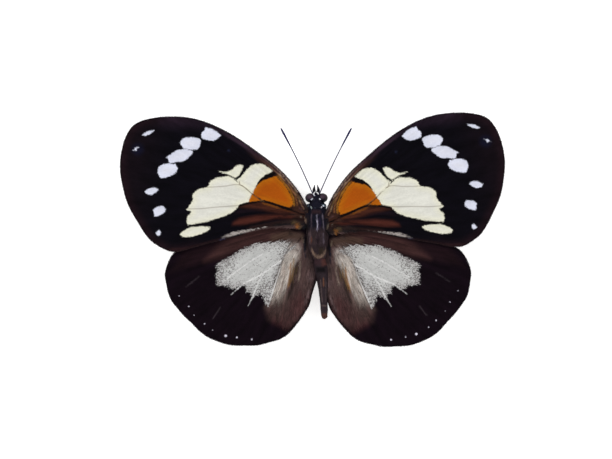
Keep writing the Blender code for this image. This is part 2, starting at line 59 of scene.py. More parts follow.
# A tuft's patch on the texture map: across, along, and its tip's height.
PATCH_ACROSS = 0.0011
PATCH_ALONG = 0.0009
PATCH_TIP = 0.0028

# Fringe of the wings' margins: spacing, nearest place to the body, depth of the roots,
# lengths, stray, width, lift and tone.
FRINGE_STEP = 0.1
FRINGE_START = 2.5
FRINGE_SUNK = 0.14
FRINGE_LENGTHS = (0.24, 0.38)
FRINGE_STRAY = 0.2
FRINGE_WIDTH = 0.11
FRINGE_LIFT = 0.02
FRINGE_TONE = 1.2

# Wing shape, after the solids', with finer veins.
VEIN_STEP = 0.35
VEIN_HALF_WIDTH = 0.2
VEIN_CLEARANCE = 0.14
VEIN_JOIN = 1.3
# How far the places between the veins stay clear of them, in half widths of a vein.
FIELD_CLEARANCE = 1.7
# How far the veins stay inside the margin, and how close two points count as one.
VEIN_INSET = 0.02
SAME_POINT = 0.01
EDGE_STEP = 0.3
SCALLOP_DEPTH = 0.12
SCALLOP_REACH = 2.5
FIELD_STEP = 0.3
TAPER = 0.8
FIELD_EDGE = 0.22
# How far the forewing's sheet is drawn in for its fringe, and where both kinds of wing are rooted.
FRINGED_INSET = 0.06
FOREWING_ROOT = (0.0, 3.5)
HINDWING_ROOT = (1.0, 2.0)
SHOULDER_HEIGHT = 8.9
LAYER = 1.2
ARCH_RISE = 1.2
ARCH_MIDDLE = 20.0
CHORD_FALL = 1.5
CHORD_REACH = 30.0
# Half the membrane's thickness, the veins' rise at the root and at the margin, and the
# depth of the valleys between the veins.
MEMBRANE_HALF = 0.06
VEIN_RISE = (0.2, 0.06)
WING_LENGTH = 45.0
VALLEY_DEPTH = 0.13
VALLEY_WIDTH = 2.2
# Share of the veins' rise and of their tint on the underside.
UNDER_RISE = 0.7
UNDER_TINT = 0.6
SHARP_ANGLE = 70.0
# The wing's place on its texture map: size and corner, and where the underside starts.
MAP_SIZE = (0.47, 0.96)
MAP_CORNER = (0.01, 0.02)
MAP_UNDERSIDE = 0.5
# The same for tufts on a wing: the flat corner and the flat size that fill the map.
TUFT_MAP_CORNER = (1.0, 26.0)
TUFT_MAP_SIZE = (47.0, 53.0)
# How finely streaks run across and along a wing.
STREAKS_ACROSS = 12.0
STREAKS_ALONG = 0.1

FOREWING_EDGE = [
    (2.0, 5.5), (2.5, 6.2), (4.3, 9.3), (8.4, 14.0), (13.4, 17.9), (19.1, 21.8), (24.3, 24.4),
    (28.8, 25.7), (33.3, 26.0), (37.9, 25.5), (41.3, 24.2), (43.1, 21.8), (44.2, 18.4),
    (44.6, 14.4), (44.1, 10.6), (43.0, 6.5), (41.0, 2.7), (38.2, -1.5), (35.5, -3.5),
    (32.5, -4.5), (26.5, -3.0), (20.2, -1.4), (12.5, 0.6), (6.6, 1.2), (2.0, 1.4),
]
FOREWING_VEINS = [
    # Subcosta and first radial, along the front edge.
    [(2.6, 5.7), (4.8, 8.6), (7.9, 12.0), (12.0, 15.6), (16.3, 18.8), (20.0, 20.9)],
    [(2.5, 4.9), (4.7, 6.9), (7.4, 9.3), (10.5, 12.4), (13.3, 14.9), (18.0, 18.3), (23.1, 21.6),
     (28.8, 23.9), (34.5, 24.9)],
    # The rest of the radial, from the cell to the wing tip.
    [(10.5, 12.4), (12.9, 13.4), (15.6, 15.0), (17.9, 16.6), (20.9, 18.6), (26.4, 20.9), (34.5, 22.6),
     (42.2, 22.3)],
    # Cubitus, the rear side of the cell, with the third median behind the cell's end.
    [(2.4, 3.7), (3.9, 4.0), (5.7, 5.0), (7.9, 5.5), (10.2, 6.4), (12.5, 7.0), (14.7, 8.4), (17.7, 10.6),
     (21.2, 10.3), (24.7, 10.1), (31.1, 10.3), (37.9, 10.9), (43.5, 11.0)],
    # The cell's end, from the third median to the radial.
    [(17.7, 10.6), (17.9, 12.2), (16.9, 13.6), (15.6, 15.0)],
    [(16.9, 13.6), (20.2, 15.3), (23.1, 16.7), (29.5, 18.6), (37.0, 19.3), (43.5, 18.6)],
    [(17.9, 12.2), (22.7, 13.7), (28.8, 14.8), (33.4, 15.4), (39.0, 15.4), (43.9, 15.0)],
    [(12.5, 7.0), (15.6, 6.6), (18.1, 6.0), (22.9, 5.6), (27.7, 5.2), (32.2, 5.4), (37.2, 6.0), (42.1, 6.8)],
    [(7.9, 5.5), (10.7, 4.8), (15.2, 4.2), (19.3, 3.4), (23.1, 2.6), (26.5, 1.9), (31.0, 1.4), (39.6, 1.4)],
    # The anal vein, along the rear edge.
    [(2.4, 2.9), (3.9, 3.0), (6.7, 3.1), (9.5, 2.8), (12.5, 2.2), (19.3, 0.6), (26.0, -1.2), (34.3, -3.5)],
]
HINDWING_EDGE = [
    (1.8, 1.0), (5.0, 2.1), (8.4, 2.8), (12.5, 2.9), (17.5, 2.2), (23.1, 0.7), (27.7, -1.5),
    (30.6, -3.3), (32.3, -4.5), (33.7, -6.8), (34.4, -9.9), (33.8, -12.8), (32.9, -15.4),
    (31.1, -17.6), (28.8, -20.0), (26.5, -22.2), (23.6, -24.1), (20.5, -25.1), (16.8, -25.5),
    (12.8, -25.25), (9.4, -24.4), (6.7, -23.05), (4.4, -20.5), (2.8, -18.3), (1.6, -16.4),
    (0.9, -13.85), (0.4, -12.2), (-0.1, -10.6), (-0.1, -8.1), (0.5, -5.9), (1.5, -3.4), (1.8, -1.2),
]
HINDWING_VEINS = [
    # Front edge vein, under the forewing.
    [(2.3, -0.4), (3.9, -0.2), (6.6, 0.9), (10.7, 1.5), (16.3, 0.8), (23.1, -1.3), (28.3, -3.6), (32.9, -6.6)],
    # Radial, with the first median.
    [(2.3, -1.4), (3.9, -1.3), (6.6, -1.0), (10.7, -1.7), (14.1, -3.1), (19.7, -4.5), (26.5, -6.4),
     (33.7, -8.9)],
    [(14.1, -3.1), (17.9, -5.7), (23.1, -8.3), (28.3, -11.0), (33.1, -13.2)],
    # Cubitus and third median, the rear side of the cell.
    [(2.3, -2.1), (3.9, -2.5), (5.4, -3.4), (7.7, -4.7), (10.2, -6.3), (12.2, -8.1), (15.2, -11.0),
     (18.4, -13.5), (21.8, -16.7), (23.8, -19.8), (25.4, -22.2)],
    [(14.1, -3.1), (15.3, -6.2), (18.6, -9.2), (23.6, -13.0), (29.7, -18.3)],
    [(12.2, -8.1), (13.6, -12.2), (15.5, -16.2), (17.5, -20.2), (19.2, -24.7)],
    [(7.7, -4.7), (8.6, -9.2), (10.9, -15.8), (12.5, -20.2), (13.3, -24.7)],
    # The two veins of the inner margin.
    [(2.3, -2.8), (4.2, -3.9), (5.7, -6.8), (6.8, -11.9), (7.5, -17.1), (8.1, -20.9), (8.3, -23.2)],
    [(2.1, -4.2), (2.7, -6.8), (3.4, -11.9), (3.7, -15.8), (3.8, -18.6)],
]
HINDWING_POINTS = [
    (34.0, -8.9), (33.7, -13.3), (30.2, -18.7), (25.7, -22.7), (19.3, -25.3), (13.3, -25.3), (8.4, -23.9),
]
# Each wing: side, layer above or below the shoulder plane, sweep in degrees, size, shift.
# The hindwings' shifts differ a little from the solids', to follow the photo's outline.
WING_PLACES = {
    "forewing_l": (-1, 0.5, 0.0, 1.0, (0.0, 0.0)),
    "forewing_r": (1, 0.5, 4.7, 0.99, (0.2, -1.5)),
    "hindwing_l": (-1, -0.5, 0.0, 1.0, (0.05, -0.15)),
    "hindwing_r": (1, -0.5, 2.9, 1.0, (0.2, -1.3)),
}
# How the right wings' drawing lies on them: turn in degrees, size and shift.
DRAWING_PLACES = {
    "forewing_r": (-0.93, 0.991, (0.05, 0.55)),
    "hindwing_r": (-1.97, 1.004, (0.29, 0.43)),
}
# Dihedral and twist of each side's pair of wings, in degrees.
SIDE_TILT = {-1: (7.0, 0.0), 1: (10.5, 4.0)}

# Markings of the forewing, as outlines on the flat wing.
WHITE_SPOTS = [
    [(25.4, 23.6), (24.0, 23.3), (22.6, 22.5), (21.8, 21.7), (22.8, 20.8), (23.5, 20.4), (24.9, 20.6),
     (26.3, 21.0), (26.4, 22.1), (25.6, 23.1)],
    [(31.3, 20.1), (30.6, 21.0), (29.7, 21.3), (28.4, 21.4), (27.3, 21.2), (26.5, 21.0), (26.3, 20.4),
     (26.7, 19.1), (27.2, 18.5), (28.6, 18.4), (30.4, 18.7), (30.8, 19.4)],
    [(34.4, 16.7), (33.2, 17.6), (31.8, 18.5), (30.4, 18.7), (28.4, 18.4), (28.2, 17.6), (29.2, 16.7),
     (30.3, 15.8), (31.5, 15.7), (33.2, 15.4), (33.7, 15.7), (33.9, 16.5)],
    [(36.3, 13.5), (36.0, 14.7), (35.1, 15.3), (33.8, 15.4), (32.2, 15.3), (31.6, 14.4), (32.0, 13.3),
     (33.1, 12.6), (34.1, 12.2), (35.5, 12.0), (35.9, 12.6)],
    [(39.2, 9.1), (38.4, 9.7), (37.4, 10.1), (36.2, 9.9), (35.8, 9.5), (36.5, 8.8), (37.4, 8.3), (38.5, 8.3)],
    [(37.3, 5.0), (36.5, 5.7), (35.5, 5.9), (34.9, 5.9), (34.4, 5.3), (34.4, 4.7), (35.0, 4.0),
     (36.1, 3.5), (37.0, 3.4), (37.1, 4.3)],
    [(36.7, -0.2), (36.0, 0.6), (35.5, 0.2), (35.4, -0.4), (36.0, -0.9), (36.6, -0.7)],
    [(36.6, 23.0), (37.4, 22.9), (38.7, 22.6), (39.9, 21.6), (38.8, 21.6), (37.9, 21.9), (37.0, 22.5)],
    [(41.9, 18.3), (41.2, 19.0), (40.2, 19.3), (40.1, 19.1), (40.7, 18.7), (40.8, 18.2)],
]
CREAM_SPOTS = [
    # The long spot by the rear edge, the end of the cell, the wedge beyond it, the large fan.
    [(31.2, -0.5), (30.6, 0.2), (29.5, 0.8), (28.3, 1.2), (26.3, 1.3), (24.6, 1.2), (24.3, 0.9),
     (24.9, 0.2), (26.6, -0.5), (28.6, -1.1), (29.9, -1.2), (30.8, -1.1)],
    [(15.9, 14.3), (15.2, 14.9), (14.2, 15.4), (13.1, 15.4), (12.0, 15.1), (11.0, 14.4), (10.1, 13.7),
     (10.5, 13.4), (11.1, 13.1), (11.9, 12.8), (12.4, 12.3), (13.0, 11.8), (13.6, 10.9), (14.4, 9.6),
     (14.9, 8.5), (16.4, 9.7), (17.5, 10.5), (18.3, 11.3), (18.3, 11.8), (17.4, 12.4), (16.7, 13.4)],
    [(16.8, 15.0), (17.6, 15.2), (18.4, 15.0), (19.3, 14.1), (20.2, 13.7), (21.1, 13.5), (22.7, 13.7),
     (21.8, 13.3), (20.4, 12.9), (19.3, 12.4), (18.7, 12.1), (18.0, 12.6), (17.4, 13.4), (17.0, 14.3)],
    [(22.6, 12.3), (21.1, 12.5), (20.0, 12.5), (18.9, 11.9), (17.9, 11.0), (16.7, 10.1), (15.5, 9.3),
     (14.6, 8.8), (15.2, 8.0), (15.6, 7.2), (15.7, 6.6), (16.8, 6.3), (18.0, 6.0), (18.1, 5.7),
     (18.6, 5.0), (19.3, 4.4), (20.8, 3.7), (23.1, 2.9), (25.4, 2.2), (27.7, 1.8),
     (29.5, 1.5), (29.7, 2.4), (29.6, 3.6),
     (29.0, 4.1), (28.7, 4.5), (29.8, 5.0), (29.4, 5.6), (28.7, 6.5), (28.3, 7.2), (28.4, 8.3),
     (28.1, 8.8), (27.4, 9.5), (26.5, 9.8), (24.8, 10.2), (24.7, 11.0), (24.3, 11.5), (23.1, 12.2)],
]
CREAM_FAN = CREAM_SPOTS[3]
# The vein between the fan and the cell.
FAN_RIM = [(12.5, 7.0), (14.7, 8.4), (17.7, 10.6), (17.9, 11.2)]
ORANGE_CELL = [
    (13.4, 11.0), (12.6, 11.6), (11.5, 11.9), (10.6, 12.2), (9.6, 12.6), (8.7, 11.8), (7.7, 10.8),
    (6.8, 9.4), (6.1, 8.2), (5.75, 7.2), (5.7, 6.3), (6.1, 5.5), (7.5, 5.7), (9.4, 6.2), (11.0, 6.7),
    (12.3, 7.0), (13.5, 6.7), (15.8, 6.6), (15.6, 7.4), (15.2, 8.2), (14.8, 9.2), (14.1, 10.1),
]
# Lines painted on the forewing: path, half width, strength, colour.
FOREWING_STROKES = [
    # Amber and olive streaks at the root, and the dark lines beside them.
    ([(9.2, 12.8), (7.9, 11.4), (6.6, 9.8), (5.75, 8.3), (5.4, 6.9), (5.35, 5.7)], 0.19, 0.85, "99641f"),
    ([(7.3, 11.4), (6.0, 9.6), (5.2, 7.9), (5.0, 6.2)], 0.08, 0.75, "2a1a14"),
    ([(6.6, 10.9), (5.35, 8.7), (4.8, 7.2), (4.6, 5.8)], 0.15, 0.85, "7c5030"),
    ([(9.0, 13.2), (7.0, 11.7), (5.3, 9.6), (4.3, 7.6), (3.8, 6.4)], 0.07, 0.75, "a08468"),
    ([(5.9, 10.3), (4.7, 8.3), (4.2, 6.8), (4.1, 5.6)], 0.1, 0.7, "241813"),
    ([(5.4, 9.6), (4.2, 7.7), (3.6, 6.2)], 0.13, 0.85, "5c4528"),
    ([(4.6, 8.9), (3.4, 7.1), (2.8, 5.9)], 0.12, 0.7, "22140f"),
    ([(4.4, 5.6), (3.4, 4.9)], 0.12, 0.7, "5a3a3c"),
    ([(12.6, 6.5), (10.6, 6.0), (8.4, 5.3)], 0.26, 0.8, "7a4518"),
    ([(9.0, 5.5), (6.0, 4.6)], 0.22, 0.6, "5a3118"),
    ([(19.0, 4.2), (15.6, 4.9), (11.8, 4.9)], 0.42, 0.4, "1c1018"),
    ([(17.6, 1.3), (14.7, 1.7), (11.8, 2.45)], 0.2, 0.8, "0c0708"),
    ([(12.4, 2.3), (8.0, 3.5), (5.0, 4.0), (2.6, 4.1)], 0.11, 0.6, "160d0f"),
    ([(2.6, 2.2), (7.0, 2.3), (12.0, 1.5), (16.0, 0.8)], 0.4, 0.7, "2b1b19"),
    ([(3.4, 1.4), (8.0, 1.0), (12.5, 0.5), (17.0, -0.5)], 0.42, 0.75, "624b49"),
    ([(19.0, -1.0), (24.0, -2.3), (30.0, -3.8), (34.0, -4.0)], 0.4, 0.6, "2e1b1d"),
    # The orange spot in its olive patch beside the body.
    ([(5.4, 2.4), (4.4, 1.8), (3.8, 0.9)], 0.75, 0.7, "6c5838"),
    ([(4.7, 2.2), (4.4, 1.5), (4.1, 0.9)], 0.26, 0.85, "94581e"),
    ([(3.9, 3.6), (3.5, 2.9)], 0.09, 0.7, "857a70"), ([(22.6, -2.1), (20.9, -1.2)], 0.2, 0.5, "3c3a58"),
    ([(2.9, 7.2), (2.5, 5.6), (2.6, 3.6)], 0.5, 0.85, "1a1417"),
]
# Soft areas of the forewing: outline, depth where they start and are full, strength, colour.
FOREWING_AREAS = [
    ([(2.0, 5.6), (4.5, 8.6), (7.5, 11.6), (9.0, 12.6), (5.5, 6.4), (6.0, 3.6), (2.0, 3.0)], -1.2, 0.8, 0.85,
     "3b241c"),
    ([(3.0, 4.1), (8.2, 5.6), (12.2, 6.9), (15.4, 6.5), (18.6, 5.6), (14.0, 5.0), (9.0, 4.2)], -0.4, 0.7, 0.9,
     "46241a"),
    ([(4.4, 3.9), (8.5, 4.1), (13.9, 3.9), (17.9, 3.2), (19.3, 2.3), (19.6, 1.4), (16.4, 1.5), (12.1, 2.3),
      (9.4, 2.9), (6.0, 2.9)], -0.3, 0.7, 0.9, "4a241d"),
]
# Bands along the front edge: distance from it, half width, strength, colour, how far out.
FRONT_BANDS = [
    (0.6, 0.5, 0.7, "3b2b38", 27.0), (1.1, 0.55, 0.8, "472e29", 17.0), (0.4, 0.11, 0.8, "917a70", 13.0),
    (0.72, 0.13, 0.8, "2d1a1a", 17.0), (1.05, 0.09, 0.75, "8a6a52", 13.0), (1.4, 0.16, 0.8, "231413", 16.0),
    (0.1, 0.14, 0.9, "0c080b", 30.0),
]
# Black lines over the markings: path and half width.
BLACK_LINES = [
    ([(3.0, 3.9), (4.4, 4.3), (6.1, 5.0)], 0.16), ([(6.1, 5.0), (8.4, 5.75), (10.3, 6.4)], 0.26),
    ([(10.3, 6.4), (12.4, 7.0)], 0.25), ([(12.4, 7.0), (14.0, 6.75), (15.8, 6.5), (17.6, 6.0)], 0.2),
    ([(12.5, 7.05), (13.5, 7.65)], 0.17), ([(13.5, 7.65), (14.9, 8.6)], 0.1),
    # The jagged bar between the orange and the cell's cream end: lumps on a thin link.
    ([(9.5, 13.15), (11.0, 12.7), (12.3, 12.15), (13.2, 11.4), (13.6, 10.8)], 0.13),
    ([(9.8, 13.15), (10.0, 13.1)], 0.28), ([(10.45, 13.0), (10.55, 12.8)], 0.42),
    ([(11.6, 12.5), (11.75, 12.3)], 0.42), ([(12.65, 11.9), (12.8, 11.75)], 0.24),
    ([(13.2, 11.3), (13.3, 11.15)], 0.18),
]
# The pale strip by the forewing's rear edge.
PALE_SHINE = [
    [(21.8, -1.35), (20.5, -0.7), (19.3, -0.2), (17.6, 0.2), (16.0, 0.5), (14.0, 0.75), (11.6, 0.95),
     (14.0, 0.45), (16.0, 0.0), (17.8, -0.45), (19.6, -0.95)],
]
# The dark scales that dust the pale marks from their edges inwards.
DUST = "46383a"
# Where the pale patch of the hindwing is free of them.
CLEAR_PART = [
    (9.0, -3.2), (13.0, -2.8), (16.6, -4.0), (18.2, -5.4), (18.4, -7.4), (20.2, -10.2), (19.4, -11.6),
    (16.6, -11.4), (14.2, -11.4), (12.4, -9.8), (10.2, -10.2), (9.4, -8.4), (8.6, -5.6),
]
# The middle of a bluish patch, painted sheen round a small white spot, and a faint dot on the forewing.
BLUE_SHEEN_MIDDLE = (40.6, 18.6)
FAINT_DOT = (20.2, 18.3)

# Markings of the hindwing.
PALE_PATCH = [
    (6.0, -1.7), (7.7, -1.7), (9.2, -1.9), (10.5, -2.0), (11.9, -2.1), (13.4, -2.1), (14.7, -2.4),
    (16.2, -3.1), (18.3, -4.3), (19.6, -5.1), (21.1, -5.9), (22.4, -7.1), (23.1, -8.0), (23.2, -9.6),
    (22.9, -11.1), (22.5, -12.0), (21.6, -11.9), (20.9, -12.4), (19.4, -12.9), (18.6, -12.9),
    (17.3, -12.1), (16.4, -12.3), (16.0, -13.3), (15.3, -14.2), (14.6, -14.6), (13.4, -14.4),
    (12.4, -14.1), (12.1, -15.2), (11.7, -16.3), (10.9, -16.6), (10.2, -14.5), (9.3, -11.5), (8.3, -8.5),
    (7.2, -5.8), (5.5, -4.2), (4.5, -3.0), (5.0, -1.9),
]
# Small white dots along the hindwing's margin: place and radius.
MARGIN_DOTS = [
    (31.1, -14.2, 0.13), (29.0, -16.6, 0.16), (27.8, -18.6, 0.13), (25.4, -20.5, 0.17),
    (23.6, -21.9, 0.14), (20.6, -23.2, 0.28), (18.1, -23.6, 0.2), (14.7, -24.0, 0.2),
]
# Soft areas of the hindwing, as on the forewing.
HINDWING_AREAS = [
    ([(3.9, -1.0), (10.7, -2.2), (17.5, -3.8), (21.5, -5.4), (27.5, -7.4), (33.3, -9.0), (30.5, -4.5),
      (15.2, 1.0), (8.4, 1.5)], -0.8, 1.2, 0.5, "27161a"),
    ([(3.9, -1.0), (10.7, -2.2), (17.5, -3.8), (21.5, -5.5), (25.5, -6.4), (22.5, -3.2), (18.5, -0.6),
      (15.2, 1.0), (8.4, 1.5)], -1.2, 1.2, 0.9, "3f2827"),
    ([(7.0, -1.2), (3.9, 0.0), (2.5, -1.8), (1.4, -5.6), (0.6, -8.0), (0.7, -11.9), (1.8, -15.3),
      (3.4, -18.4), (6.1, -20.9), (9.1, -19.4), (10.2, -16.5), (9.0, -12.0), (7.9, -6.5)],
     -0.8, 1.2, 0.95, "5a4543"),
    ([(1.0, -14.0), (3.4, -18.4), (6.1, -21.5), (9.5, -20.0), (10.4, -17.0), (7.0, -15.5), (4.0, -13.0)],
     -1.5, 1.5, 0.75, "4c2d2e"),
    ([(7.2, -2.5), (5.6, -2.3), (4.4, -2.7), (3.8, -3.6), (4.2, -5.2), (5.0, -7.0), (5.8, -9.0), (6.7, -11.5),
      (7.4, -13.5), (8.2, -15.5), (10.6, -16.2), (9.9, -12.5), (8.6, -9.0), (7.8, -6.0)], -0.6, 0.6, 0.92,
     "cdc4bc"),
    ([(6.6, -13.6), (9.6, -13.8), (11.4, -16.8), (9.0, -17.8), (7.0, -16.4)], -1.0, 1.0, 0.75, "75655e"),
    ([(6.6, -1.4), (5.0, -1.4), (3.4, -2.4), (3.4, -4.4), (4.6, -5.0), (5.6, -4.4), (6.4, -3.2)],
     -0.4, 0.9, 0.7, "7d706b"),
    ([(10.4, -0.6), (6.6, 0.4), (3.2, -0.4), (3.2, -1.6), (6.4, -1.4), (10.4, -1.9)],
     -0.8, 0.6, 0.75, "4c3a31"),
    ([(6.0, -15.4), (8.6, -15.4), (10.6, -15.6), (11.4, -17.0), (10.6, -19.4), (6.0, -18.6)], -1.4, 1.2, 0.85,
     "4a3634"),
    ([(2.7, -5.0), (3.2, -7.4), (2.2, -8.2), (1.0, -6.6), (1.2, -5.0)], -0.6, 0.6, 0.6, "3a2e2d"),
    ([(1.6, -8.4), (2.6, -9.4), (1.8, -11.0), (0.5, -10.2), (0.4, -9.0)], -0.4, 0.6, 0.6, "6b5556"),
    # Painted shadow: these last two areas darken the hindwing's root beside the chest.
    ([(2.7, -3.2), (2.7, -5.6), (0.8, -5.8), (1.0, -0.8), (2.2, -0.8)], -0.3, 0.4, 0.75, "2e2324"),
    ([(3.1, -1.1), (3.0, -3.9), (2.3, -4.0), (2.2, -1.1)], -0.2, 0.25, 0.95, "0c0b10"),
]
INNER_AREA = HINDWING_AREAS[2][0]
# Lines painted on the hindwing: path, half width, strength, colour.
HINDWING_STROKES = [
    # Warm streaks between the pale patch and the brown inner margin.
    ([(6.0, -6.6), (5.9, -9.0), (6.5, -12.4)], 0.24, 0.85, "96693a"),
    ([(5.3, -5.6), (5.2, -8.0), (5.8, -11.0)], 0.2, 0.75, "8a6a42"),
    ([(7.2, -6.6), (7.4, -10.0), (8.4, -14.2)], 0.15, 0.55, "8a7064"),
    ([(8.0, -9.0), (8.6, -12.0), (9.6, -15.0)], 0.1, 0.5, "75665e"),
    ([(6.8, -8.0), (7.2, -12.0), (8.0, -15.2)], 0.1, 0.5, "6e5a48"),
    # The second, dark bluish line of this row is painted shadow beside the chest.
    ([(4.4, -6.6), (4.7, -9.6)], 0.24, 0.7, "56462a"), ([(2.9, -1.9), (2.5, -5.8)], 0.14, 0.85, "1a1a26"),
    ([(3.4, -0.6), (2.9, -2.4)], 0.12, 0.6, "6b5e50"), ([(5.6, -2.2), (4.2, -4.4)], 0.1, 0.7, "4a3c36"),
    ([(6.4, -2.4), (5.2, -4.6)], 0.1, 0.6, "9c908a"), ([(4.5, -2.2), (3.6, -5.2)], 0.13, 0.7, "a1948f"),
    ([(4.0, -4.4), (3.7, -7.0), (4.0, -10.2)], 0.18, 0.6, "9a897c"),
    ([(5.2, -9.8), (5.8, -12.6), (6.6, -15.4)], 0.3, 0.8, "2c211d"),
    ([(1.6, -12.4), (2.1, -14.6), (2.8, -16.2)], 0.25, 0.6, "7a6566"),
    # Dark lines in front: a long one under the forewing's edge, which is painted shadow of that edge, and one
    # at the root.
    ([(4.0, 0.3), (9.0, 0.2), (15.0, -1.2), (21.0, -3.2)], 0.14, 0.5, "1e1214"),
    ([(3.4, -1.0), (4.6, -2.4)], 0.16, 0.8, "120b0c"),
    # Faint pale streaks far out on two veins.
    ([(29.7, -12.2), (26.5, -9.7)], 0.14, 0.16, "6a5f66"),
    ([(23.6, -19.4), (21.8, -16.7)], 0.14, 0.2, "6a5f66"),
]

# The black inner margin, on the wing itself.
BLACK_MARGIN = [
    ([(0.1, -10.6), (0.6, -12.2), (1.1, -13.8), (1.8, -16.3), (3.0, -18.2), (4.6, -20.4), (7.0, -22.9)],
     0.22, 0.92, "140c0e"),
]
DARK_THREAD = [(6.0, -3.2), (7.6, -5.8), (8.4, -8.9), (9.35, -12.2), (10.3, -15.4)]
# White lines through the pale patch and beyond it: path and half width.
WHITE_LINES = [
    ([(12.4, -4.8), (15.2, -6.5), (18.1, -8.6), (20.4, -10.2)], 0.13),
    ([(8.0, -6.2), (9.7, -7.4), (12.0, -9.0), (14.5, -10.4), (16.7, -11.5)], 0.15),
    ([(16.7, -11.5), (18.2, -12.8)], 0.13), ([(18.0, -12.6), (19.5, -14.0)], 0.06),
    ([(12.0, -9.0), (13.2, -11.1), (14.2, -13.6)], 0.15), ([(14.2, -13.6), (14.9, -15.1)], 0.11),
    ([(14.8, -14.9), (15.6, -16.5)], 0.05),
    ([(8.1, -7.6), (8.9, -10.0), (9.8, -12.8), (10.6, -15.2)], 0.14), ([(10.6, -15.2), (11.1, -16.6)], 0.08),
]

# Long hair on the wings: hairs in one lock, and how far they stray from its middle.
LOCK_SIZE = 7
LOCK_SPREAD = 0.1
# The hair's stray, its lean to the rear, its lift, and how much lighter or darker a lock is.
HAIR_STRAY = 0.06
HAIR_LEAN = (0.0, -0.8)
HAIR_LIFT = 0.06
LOCK_TONES = (0.6, 1.5)
HAIRY_ROOTS = {
    # Where long hair lies on each wing: outline, number, shortest and longest hair, width,
    # and how far it may stand out over the margin.
    "forewing": [([(2.2, 4.4), (3.0, 5.2), (4.4, 4.4), (6.4, 3.0), (9.0, 1.8), (9.0, 1.2), (2.2, 1.2)],
                  1500, 0.9, 1.8, 0.09, 1.2)],
    "hindwing": [
        ([(4.8, -3.0), (6.0, -3.6), (7.2, -6.0), (8.1, -9.0), (9.2, -12.8), (9.6, -16.5), (6.0, -20.6),
          (3.6, -18.8), (1.6, -15.6), (0.8, -11.8), (0.7, -6.0), (2.0, -4.0)], 4600, 1.5, 3.2, 0.08, 0.4),
        ([(1.8, -0.6), (5.2, 0.6), (5.8, -1.2), (4.2, -5.0), (1.4, -5.0)], 1300, 1.2, 2.2, 0.09, 0.4),
    ],
}

# The body's skin, under its coat: y, x of the middle, height, half width, half height and
# squareness, 2 for an ellipse.
BODY_ROWS = [
    (9.3, -0.18, 7.85, 0.3, 0.4, 2.0), (9.1, -0.18, 7.9, 0.62, 0.9, 2.1), (8.6, -0.16, 7.95, 0.88, 1.3, 2.2),
    (7.8, -0.13, 8.0, 1.02, 1.42, 2.2), (7.1, -0.12, 8.0, 1.2, 1.38, 2.2), (6.6, -0.1, 7.98, 1.5, 1.3, 2.1),
    (6.3, -0.1, 7.95, 1.62, 1.35, 2.1), (6.05, -0.1, 7.93, 1.7, 1.5, 2.2), (5.6, -0.08, 7.85, 1.9, 1.9, 2.3),
    (4.8, -0.05, 7.75, 2.25, 2.3, 2.5), (3.6, 0.0, 7.65, 2.4, 2.6, 2.6), (1.6, 0.05, 7.6, 2.5, 2.78, 2.7),
    (-1.4, 0.12, 7.55, 2.5, 2.75, 2.6), (-3.6, 0.28, 7.5, 2.15, 2.4, 2.4),
    (-4.9, 0.42, 7.57, 1.78, 1.95, 2.3), (-5.7, 0.5, 7.63, 1.52, 1.6, 2.1),
    (-6.1, 0.58, 7.65, 1.5, 1.5, 2.0), (-7.2, 0.76, 7.65, 1.6, 1.6, 2.1),
    (-9.6, 1.1, 7.5, 1.5, 1.6, 2.1), (-11.9, 1.35, 7.3, 1.24, 1.35, 2.1),
    (-14.3, 1.48, 7.05, 0.97, 1.1, 2.1), (-16.6, 1.58, 6.8, 0.84, 0.98, 2.0),
    (-18.4, 1.65, 6.62, 0.74, 0.84, 2.0), (-19.3, 1.67, 6.55, 0.52, 0.58, 2.0),
    (-19.65, 1.68, 6.5, 0.15, 0.2, 2.0),
]
BODY_RING_STEP = 0.14
BODY_SIDES = 72
WAIST_Y = -5.9
TAIL_Y = -19.4
SEGMENT_LENGTH = 1.62
SEGMENT_SWELL = 0.045

HEAD_X = -0.13
CHEST_FRONT = 6.15
EYE_SPREAD = 1.38
EYE_CENTRE = (7.68, 7.95)
EYE_RADII = (1.17, 1.07, 1.27)
# Rounded lobes on the skin: the collar's and those over the forewings' roots. Middle, radii.
LOBES = [
    ((-1.75, 5.7, 8.9), (0.68, 0.72, 0.95)), ((1.44, 5.74, 8.9), (0.7, 0.74, 0.95)),
    ((-2.25, 3.0, 9.5), (0.85, 1.5, 0.95)), ((2.3, 2.0, 9.7), (0.85, 1.6, 0.95)),
]
